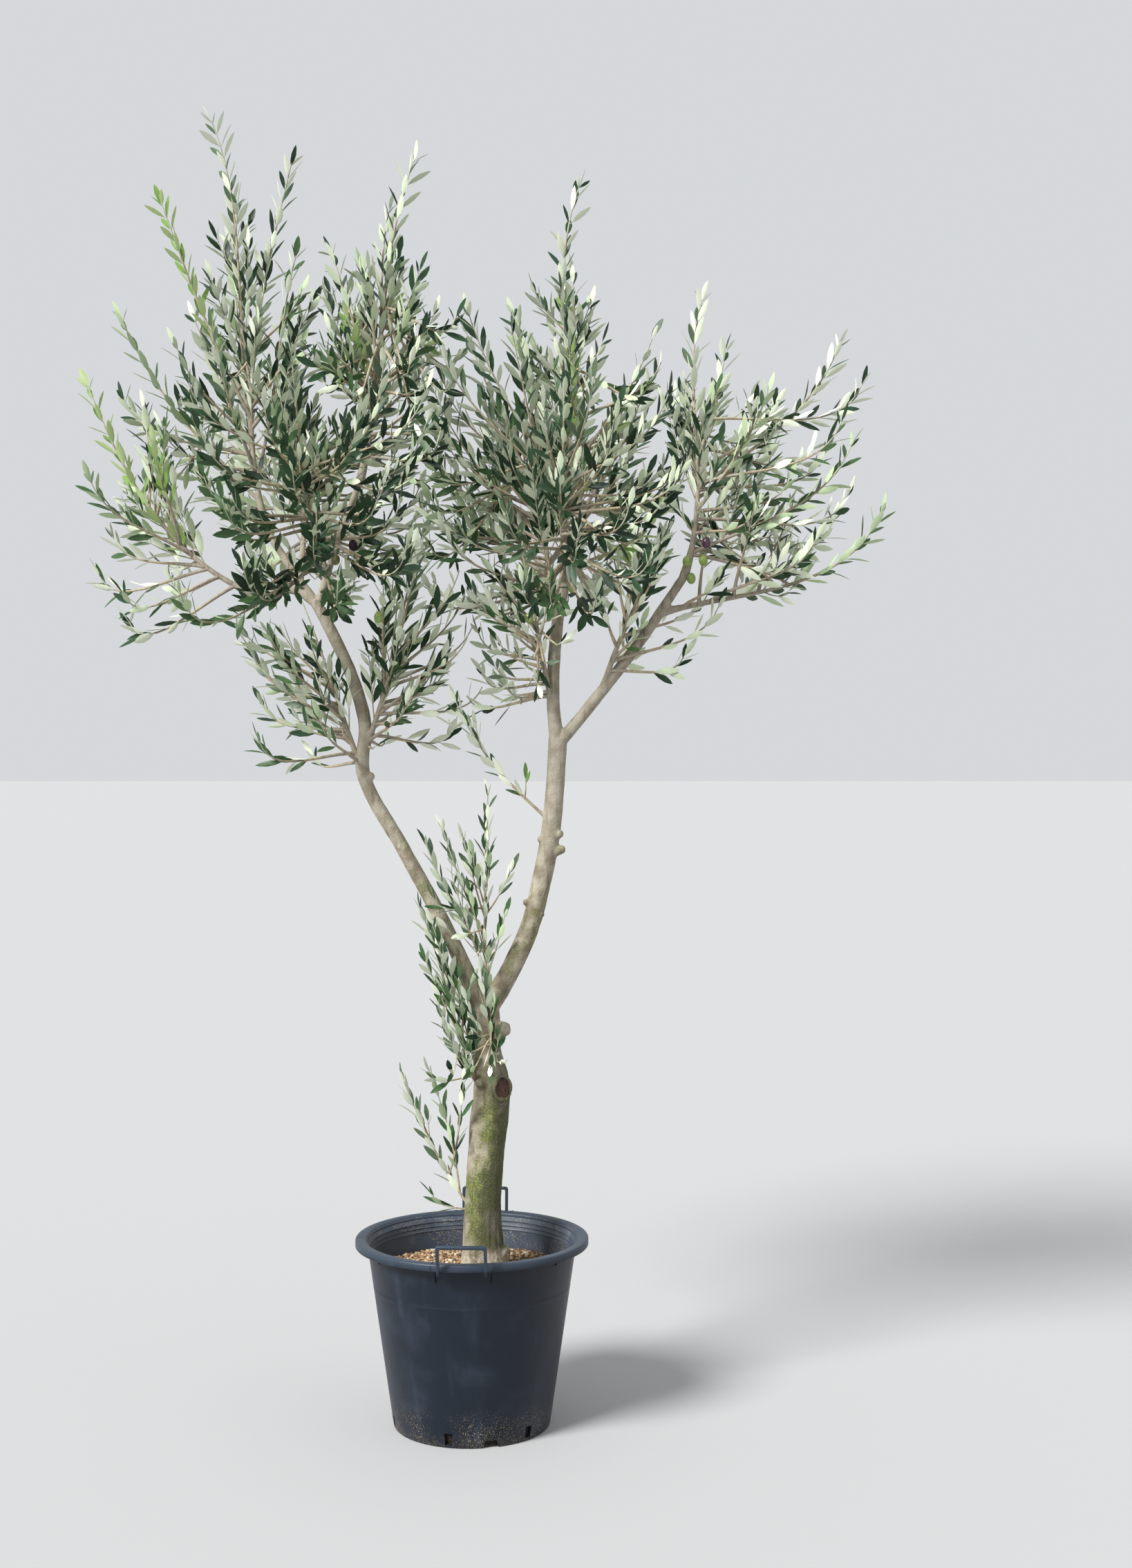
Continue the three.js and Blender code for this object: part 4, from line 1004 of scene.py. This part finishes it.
# Fill leaders leave the stem between two fractions of it. Even steps deal their tips through
# the room of the mass's own tips and a little around it, under a dome that falls off sideways.
FILL = {"from": 0.05, "to": 0.55, "around": 35, "least": 60, "dome": 2230, "slope": 0.2,
        "below": 160}
EVEN_STEPS = (0.8192, 0.6711, 0.5497)

# The usual share of side twigs that grow. Leans are in degrees, and a station is a share of
# the leaf's length and of its full width there.
SIDE_KEPT = 0.76
TWIG = {"share": 0.6, "least": 30, "rise": 0.4, "lean": (26, 50), "length": (0.5, 1.1),
        "shorten": 0.85, "thick": 1.7, "thin": 0.8, "bare": 0.12}
END_REACH = 0.82
LEAF = {"kept": 0.94, "length": (0.78, 1.12), "width": 0.255, "breadth": (0.88, 1.14),
        "curl": (-0.12, 0.1), "twist": 0.35, "roll": 0.7, "sunk": 1.5, "fold": 0.1,
        "thickness": 0.7}
LEAF_STATIONS = ((0.1, 0.12), (0.32, 0.8), (0.6, 1.0), (0.86, 0.56))
YOUNG_LEAF = {"least": 0.55, "grown_below": 90}
TIP_LEAF = {"at": 0.985, "lean": 7, "share": 0.85}
FIRST_PAIR = 0.3


class Shoot:
    """A twig that leaves one way, arrives pointing up and thins towards its tip."""

    def __init__(self, start, leave, tip, arrive, thick, thin):
        self.reach = (tip - start).length
        self.thick, self.thin = thick, thin
        pull = self.reach * PULL
        leaving, arriving = start + leave * pull, tip - arrive * pull
        self.steps = max(round(self.reach / SHOOT_STEP), 3)
        self.path = []
        for i in range(self.steps + 1):
            t = i / self.steps
            rest = 1 - t
            self.path.append(start * rest ** 3 + leaving * 3 * rest * rest * t
                             + arriving * 3 * rest * t * t + tip * t ** 3)

    def step(self, t):
        step = min(int(t * self.steps), self.steps - 1)
        return step, t * self.steps - step

    def at(self, t):
        step, share = self.step(t)
        return self.path[step].lerp(self.path[step + 1], share)

    def heading(self, t):
        step, _ = self.step(t)
        return (self.path[step + 1] - self.path[step]).normalized()

    def radius(self, t):
        return self.thin + (self.thick - self.thin) * (1 - t) ** TAPER


def arrival(start, tip):
    flat = Vector((tip.x - start.x, tip.y - start.y, 0))
    if flat.length > 1:
        flat.normalize()
    return (flat * ARRIVAL_LEAN + UP).normalized()


def make_leader(stem, fraction, tip, kind):
    start = stem.at(fraction)
    arrive = arrival(start, tip)
    end = tip - arrive * kind["leaf"] * END_REACH
    heading = stem.heading(fraction)
    leave = end - start
    leave = (leave - heading * FORK_SPREAD * leave.dot(heading)).normalized()
    thick = min(kind["leader"], stem.radius(fraction))
    return Shoot(start, leave, end, arrive, thick, TIP_RADIUS)


def main_shoots(mass, kind, draw):
    """The mass's stem, its leaders, and fill leaders dealt evenly through the leaders' reach."""
    limb = limbs[mass["on"]]
    tips = [sighted(*tip) for tip in mass["tips"]]
    more = [sighted(*tip) for tip in mass.get("more", [])]
    top = tips.pop()
    start = limb.at(mass["at"])
    arrive = arrival(start, top)
    end = top - arrive * kind["leaf"] * END_REACH
    heading = limb.heading(mass["at"])
    leave = (end - start).normalized()
    if mass["at"] == 1:
        leave += heading
    else:
        leave -= heading * SIDE_SPREAD * leave.dot(heading)
    thick = min(kind["stem"], limb.radius(mass["at"]))
    stem = Shoot(start, leave.normalized(), end, arrive, thick, TIP_RADIUS)
    shoots = [stem]
    for k, tip in enumerate(tips):
        fraction = LEADERS_FROM + (LEADERS_TO - LEADERS_FROM) * (k + 0.5) / len(tips)
        shoots.append(make_leader(stem, fraction, tip, kind))
    low = [min(tip[i] for tip in tips) - FILL["around"] for i in range(3)]
    high = [max(tip[i] for tip in tips) + FILL["around"] for i in range(3)]
    low[2] = min(low[2], start.z + FILL["least"])
    first = draw(0, 1)
    for k in range(mass["fill"]):
        share = [(first + (k + 1) * step) % 1 for step in EVEN_STEPS]
        tip = Vector(low[i] + (high[i] - low[i]) * share[i] for i in range(3))
        dome = FILL["dome"] - FILL["slope"] * abs(tip.x)
        if tip.z > dome:
            tip.z = dome - draw(0, FILL["below"])
        fraction = FILL["from"] + (FILL["to"] - FILL["from"]) * share[2]
        shoots.append(make_leader(stem, fraction, tip, kind))
    shoots += [make_leader(stem, draw(FILL["from"], FILL["to"]), tip, kind) for tip in more]
    return shoots


def turned_out(heading, angle, lean):
    """The direction that leans away from a heading, towards an angle round it."""
    side, over = across(heading)
    out = side * math.cos(angle) + over * math.sin(angle)
    return heading * math.cos(lean) + out * math.sin(lean), out


def side_twigs(shoot, kind, kept_share, draw, holds):
    """Twigs in the leaf axils, longer the further they stand below the shoot's tip."""
    twigs = []
    turn = draw(0, math.pi)
    count = int(shoot.reach * (kind["side_to"] - kind["side_from"]) / kind["side_step"])
    for k in range(count):
        t = kind["side_to"] - k * kind["side_step"] / shoot.reach
        below = shoot.reach * (1 - t)
        for half in (0, math.pi):
            lean = math.radians(draw(*TWIG["lean"]))
            most = min(kind["side_most"], (below - kind["side_short"]) * TWIG["share"])
            length = most * draw(*TWIG["length"])
            kept = draw(0, 1) < kept_share
            direction, _ = turned_out(shoot.heading(t), turn + k * math.pi / 2 + half, lean)
            start = shoot.at(t)
            way = direction + UP * TWIG["rise"]
            while length > TWIG["least"] and not holds(start + way * length):
                length *= TWIG["shorten"]
            if kept and length > TWIG["least"]:
                tip = start + way * length
                thick = min(TWIG["thick"], shoot.radius(t))
                twigs.append(Shoot(start, direction, tip, arrival(start, tip), thick, TWIG["thin"]))
    return twigs


def leaves_on(shoot, kind, node, draw, bare, holds, tone):
    """One leaf at the tip and opposite pairs below it, each as its root, axes and size."""
    leaves = []

    def add(t, angle, lean, length):
        heading = shoot.heading(t)
        along, out = turned_out(heading, angle, lean)
        upper = heading * math.sin(lean) - out * math.cos(lean)
        upper = (Matrix.Rotation(draw(-LEAF["roll"], LEAF["roll"]), 3, along) @ upper).normalized()
        root = shoot.at(t) + along * shoot.radius(t) * 0.5
        width = length * LEAF["width"] * draw(*LEAF["breadth"])
        curl = length * draw(*LEAF["curl"])
        if holds(root + along * length):
            leaves.append((root, along, along.cross(upper), upper, length, width, curl, tone))

    add(TIP_LEAF["at"], draw(0, 2 * math.pi), math.radians(TIP_LEAF["lean"]),
        kind["leaf"] * TIP_LEAF["share"])
    turn = draw(0, math.pi)
    pairs = int(shoot.reach * (1 - bare) / node)
    for k in range(pairs):
        below = node * (k + FIRST_PAIR)
        t = 1 - below / shoot.reach
        grown = min(YOUNG_LEAF["least"] + below / YOUNG_LEAF["grown_below"], 1)
        for half in (0, math.pi):
            lean = math.radians(draw(*kind["lean"]))
            length = kind["leaf"] * grown * draw(*LEAF["length"])
            if draw(0, 1) < LEAF["kept"]:
                twist = draw(-LEAF["twist"], LEAF["twist"])
                add(t, turn + k * math.pi / 2 + half + twist, lean, length)
    return leaves


def leaf_mesh(leaves, tones):
    """Every leaf as a closed blade: an upper side folded at the midrib and a keeled underside."""
    root, along, side, over = (np.array([leaf[i] for leaf in leaves]) for i in range(4))
    length, width, curl = (np.array([leaf[i] for leaf in leaves])[:, None] for i in (4, 5, 6))
    columns = [root - along * LEAF["sunk"]]
    for t, wide in LEAF_STATIONS:
        middle = root + along * length * t + over * curl * t * t
        edge = side * width * wide / 2
        fold = over * width * wide * LEAF["fold"]
        columns += [middle - edge + fold, middle, middle + edge + fold,
                    middle - over * LEAF["thickness"] * (1.1 - t)]
    columns.append(root + along * length + over * curl)
    points = np.stack(columns, axis=1).reshape(-1, 3)
    upper, lower = [(0, 1, 2), (0, 2, 3)], [(0, 4, 1), (0, 3, 4)]
    for first in range(1, 1 + 4 * (len(LEAF_STATIONS) - 1), 4):
        left, middle, right, keel = range(first, first + 4)
        upper += [(left, left + 4, middle + 4, middle), (middle, middle + 4, right + 4, right)]
        lower += [(keel, keel + 4, left + 4, left), (right, right + 4, keel + 4, keel)]
    left, middle, right, keel = range(len(columns) - 5, len(columns) - 1)
    tip = len(columns) - 1
    upper += [(left, tip, middle), (middle, tip, right)]
    lower += [(keel, tip, left), (right, tip, keel)]
    faces, which = [], []
    for k, leaf in enumerate(leaves):
        start = k * len(columns)
        above, beneath = tones[leaf[7]]
        faces += [tuple(start + i for i in face) for face in upper + lower]
        which += [above] * len(upper) + [beneath] * len(lower)
    return points, faces, which


def leaf_finish(name, base, roughness, vein_depth):
    """Leathery skin. Its colour is plain, because each spray has one of its own."""
    finish = Finish(name, base, roughness, **{"Specular IOR Level": 0.25})
    veins = finish.cloud(4, 3)
    finish.wear({"Roughness": roughness - 0.08 + veins * 0.16,
                 "Normal": finish.relief(veins, vein_depth)})
    return finish


LEAF_FINISHES = [
    leaf_finish("leaf_dark", (0.011, 0.029, 0.013), 0.4, 0.3),
    leaf_finish("leaf_deep", (0.021, 0.052, 0.022), 0.4, 0.3),
    leaf_finish("leaf_green", (0.045, 0.093, 0.034), 0.42, 0.3),
    leaf_finish("leaf_grey", (0.08, 0.12, 0.068), 0.45, 0.3),
    leaf_finish("leaf_new", (0.15, 0.26, 0.06), 0.42, 0.25),
    leaf_finish("under_sage", (0.56, 0.63, 0.45), 0.66, 0.25),
    leaf_finish("under_pale", (0.68, 0.73, 0.57), 0.68, 0.25),
    leaf_finish("under_green", (0.43, 0.53, 0.32), 0.64, 0.25),
    leaf_finish("under_new", (0.48, 0.59, 0.28), 0.66, 0.25),
]

# The finish above and beneath for each tone, and how often a spray takes it.
TONES = [(0, 5), (1, 6), (1, 5), (2, 7), (3, 6), (2, 6), (4, 8)]
TONE_SHARES = (0.24, 0.46, 0.63, 0.77, 0.87, 0.98, 1)


def twig_finish(name, base, streak):
    finish = Finish(name, base, 0.75)
    grain = finish.cloud(5, 4, (1, 1, 0.3))
    colour = finish.tint(base, streak, finish.step(grain, 0.45, 0.7))
    finish.wear({"Base Color": colour, "Normal": finish.relief(grain, 0.5)})
    return finish


TWIG_FINISHES = [
    twig_finish("twig_old", (0.32, 0.275, 0.21), (0.2, 0.165, 0.12)),
    twig_finish("twig_tan", (0.38, 0.32, 0.215), (0.26, 0.2, 0.125)),
    twig_finish("twig_young", (0.4, 0.4, 0.28), (0.3, 0.3, 0.19)),
]


OLD_TWIG, TAN_TWIG, YOUNG_TWIG = range(3)
THICK_SHOOT = 3
THIN_SHOOT = 1.8
YOUNG_RADIUS = 1.5


def twig_mesh(shoots):
    """Every shoot as a thin tube, with older bark on the thicker ones."""
    def age(radius):
        return OLD_TWIG if radius > THICK_SHOOT else TAN_TWIG if radius > YOUNG_RADIUS else YOUNG_TWIG

    parts, which = [], []
    for shoot in shoots:
        sides = 7 if shoot.thick > THICK_SHOOT else 5 if shoot.thick > THIN_SHOOT else 4
        radii = [shoot.radius(i / shoot.steps) for i in range(shoot.steps + 1)]
        parts.append(tube(shoot.path, radii, sides))
        which += [age(radius) for radius in radii[1:] for _ in range(sides)] + [OLD_TWIG, YOUNG_TWIG]
    return *joined(parts), which


def grow(name, index):
    """All shoots and leaves of one mass, within the reach of its measured solid."""
    mass = MASSES[name]
    kind = CROWN if name.startswith("leaves") else SHOOT
    draw = draws_from(FIRST_SEED + SEED_STEP * index)
    low, high = (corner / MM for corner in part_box(name))
    margin = mass.get("margin", kind["margin"])

    def holds(point):
        return all(low[i] - margin < point[i] < high[i] + margin for i in range(3))

    def tone():
        pick = draw(kind["first_tone"], 1)
        return next(i for i, share in enumerate(TONE_SHARES) if pick <= share)

    main = main_shoots(mass, kind, draw)
    kept_share = mass.get("kept", SIDE_KEPT)
    twigs, leaves = [], []
    for shoot in main:
        leaves += leaves_on(shoot, kind, kind["node"], draw, kind["bare"], holds, tone())
        for twig in side_twigs(shoot, kind, kept_share, draw, holds):
            twigs.append(twig)
            leaves += leaves_on(twig, kind, kind["twig_node"], draw, TWIG["bare"], holds, tone())
    return main, twigs, leaves


# The foliage is joined in five parts, leaves and twigs apart, so that no piece grows too heavy.
GROUPS = {
    "crown_left_outer": ["leaves_left_outer", "leaves_left_top", "leaves_left_low"],
    "crown_left_inner": ["leaves_left_inner", "leaves_left_front", "leaves_left_back",
                         "leaves_left_low_inner"],
    "crown_right_inner": ["leaves_right_top", "leaves_right_inner", "leaves_right_front",
                          "leaves_right_back", "leaves_right_low"],
    "crown_right_outer": ["leaves_right_outer", "leaves_right_side", "leaves_right_low_outer"],
    "trunk_shoots": ["shoot_middle", "shoots_fork", "shoots_trunk_left", "shoots_trunk_front",
                     "shoot_base"],
}

FOLIAGE_CREASE = 60

grown = {name: grow(name, index) for index, name in enumerate(MASSES)}
for group, members in GROUPS.items():
    leaves = [leaf for name in members for leaf in grown[name][2]]
    shoots = [shoot for name in members for shoot in grown[name][0] + grown[name][1]]
    points, faces, which = leaf_mesh(leaves, TONES)
    blades = make_piece(f"{group}_leaves", points, faces, LEAF_FINISHES, which, FOLIAGE_CREASE)
    seat(blades, "foliage", *members)
    points, faces, which = twig_mesh(shoots)
    wood = make_piece(f"{group}_twigs", points, faces, TWIG_FINISHES, which, FOLIAGE_CREASE)
    seat(wood, "foliage", *members)

FORK = {"length": 0.12, "steps": 6, "swell": 0.5, "sides": 12}


def fork_foot(stem):
    """The thickened foot of a stem, which the bough's skin flows into."""
    stops = [i / FORK["steps"] * FORK["length"] for i in range(FORK["steps"] + 1)]
    radii = [stem.radius(t) * (1 + FORK["swell"] - FORK["swell"] * t / FORK["length"]) for t in stops]
    return tube([stem.at(t) for t in stops], radii, FORK["sides"])


make_bark([fork_foot(main[0]) for main, _, _ in grown.values()])
make_saw_cut()


# Olives, a few green and a few turning purple. Each hangs on a short stalk from the twig that
# is nearest to its place.
OLIVE = {"radius": 8.5, "half_length": 11, "taper": 0.06, "depth": -60, "sides": 16}
STALK = {"length": 14, "radius": 0.9, "neck": 0.8, "sides": 5, "arch": 2, "into_fruit": 8}
HANG = {"aside": 0.4, "forwards": 0.5}
GREEN, TURNING, PURPLE = range(3)
# Each row is x, height z and ripeness.
OLIVES = [
    (426, 1715, GREEN), (446, 1713, GREEN), (455, 1734, PURPLE), (424, 1645, GREEN),
    (250, 1818, GREEN), (226, 1782, GREEN), (299, 1775, GREEN), (128, 1861, PURPLE),
    (-200, 1735, GREEN), (-267, 1708, TURNING), (-187, 1666, GREEN), (-196, 1621, GREEN),
    (-224, 1749, TURNING), (-187, 1754, PURPLE), (108, 1601, GREEN), (195, 1665, GREEN),
]
OLIVE_FINISHES = []
for name, base, blush in (("olive_green", (0.2, 0.29, 0.06), (0.29, 0.36, 0.1)),
                          ("olive_turning", (0.15, 0.12, 0.07), (0.22, 0.26, 0.08)),
                          ("olive_purple", (0.05, 0.02, 0.045), (0.1, 0.04, 0.06))):
    skin = Finish(name, base, 0.32)
    speckle = skin.cloud(2, 3)
    skin.wear({"Base Color": skin.tint(base, blush, skin.step(skin.cloud(9, 2), 0.4, 0.7)),
               "Roughness": 0.28 + speckle * 0.12, "Normal": skin.relief(speckle, 0.2)})
    OLIVE_FINISHES.append(skin)


def olive_parts(x, z):
    """A stalk and an egg-shaped fruit that hang from the nearest crown shoot."""
    place = sighted(x, OLIVE["depth"], z)
    points = [point for name, (main, twigs, _) in grown.items() if name.startswith("leaves")
              for shoot in main + twigs for point in shoot.path[1:-1]]
    best = min(points, key=lambda point: (point - place).length)
    drop = STALK["length"] + OLIVE["half_length"]
    aside = math.copysign(HANG["aside"], place.x - best.x)
    centre = best + Vector((aside, -HANG["forwards"], -1)).normalized() * drop
    middle = (best + centre) / 2 + Vector((0, 0, STALK["arch"]))
    stalk = tube([best, middle, centre + Vector((0, 0, STALK["into_fruit"]))],
                 [STALK["radius"], STALK["neck"], STALK["radius"]], STALK["sides"])
    rows = [(OLIVE["radius"] * math.sin(a) * (1 + OLIVE["taper"] * math.cos(a)),
             -OLIVE["half_length"] * math.cos(a)) for a in np.radians(np.linspace(8, 172, 12))]
    fruit_points, fruit_faces = turned(rows, OLIVE["sides"])
    fruit = ([tuple(Vector(point) + centre) for point in fruit_points], fruit_faces)
    return stalk, fruit


parts, which = [], []
for x, z, ripeness in OLIVES:
    stalk, fruit = olive_parts(x, z)
    parts += [stalk, fruit]
    which += [len(OLIVE_FINISHES)] * len(stalk[1]) + [ripeness] * len(fruit[1])
olives = make_piece("olives", *joined(parts), OLIVE_FINISHES + [TWIG_FINISHES[YOUNG_TWIG]], which)
seat(olives, "foliage", "leaves_right_side")


# The studio: a plain pale floor under an even, pale sky, with one broad soft light from the
# left front and a weaker one from the right.
FLOOR_REACH = 90000
SKY = {"colour": (0.76, 0.78, 0.8, 1), "strength": 0.88}
floor_finish = Finish("pale_floor", (0.4, 0.4, 0.4), 0.9)
corners = [(x * FLOOR_REACH, y * FLOOR_REACH, 0) for x, y in ((-1, -1), (1, -1), (1, 1), (-1, 1))]
make_piece("floor", corners, [(0, 1, 2, 3)], [floor_finish])

world = bpy.data.worlds.new("pale_sky")
world.use_nodes = True
sky = world.node_tree.nodes["Background"].inputs
sky["Color"].default_value = SKY["colour"]
sky["Strength"].default_value = SKY["strength"]
bpy.context.scene.world = world
bpy.context.scene.view_settings.view_transform = "Standard"


def soft_light(name, azimuth, elevation, spread, strength):
    """Light from far off that comes from an azimuth, counted from the front towards +X."""
    data = bpy.data.lights.new(name, "SUN")
    data.angle = math.radians(spread)
    data.energy = strength
    light = bpy.data.objects.new(name, data)
    light.rotation_euler = (math.radians(90 - elevation), 0, math.radians(azimuth))
    bpy.context.scene.collection.objects.link(light)


soft_light("window_left", -46, 40, 20, 5.5)
soft_light("window_right", 60, 30, 50, 0.2)
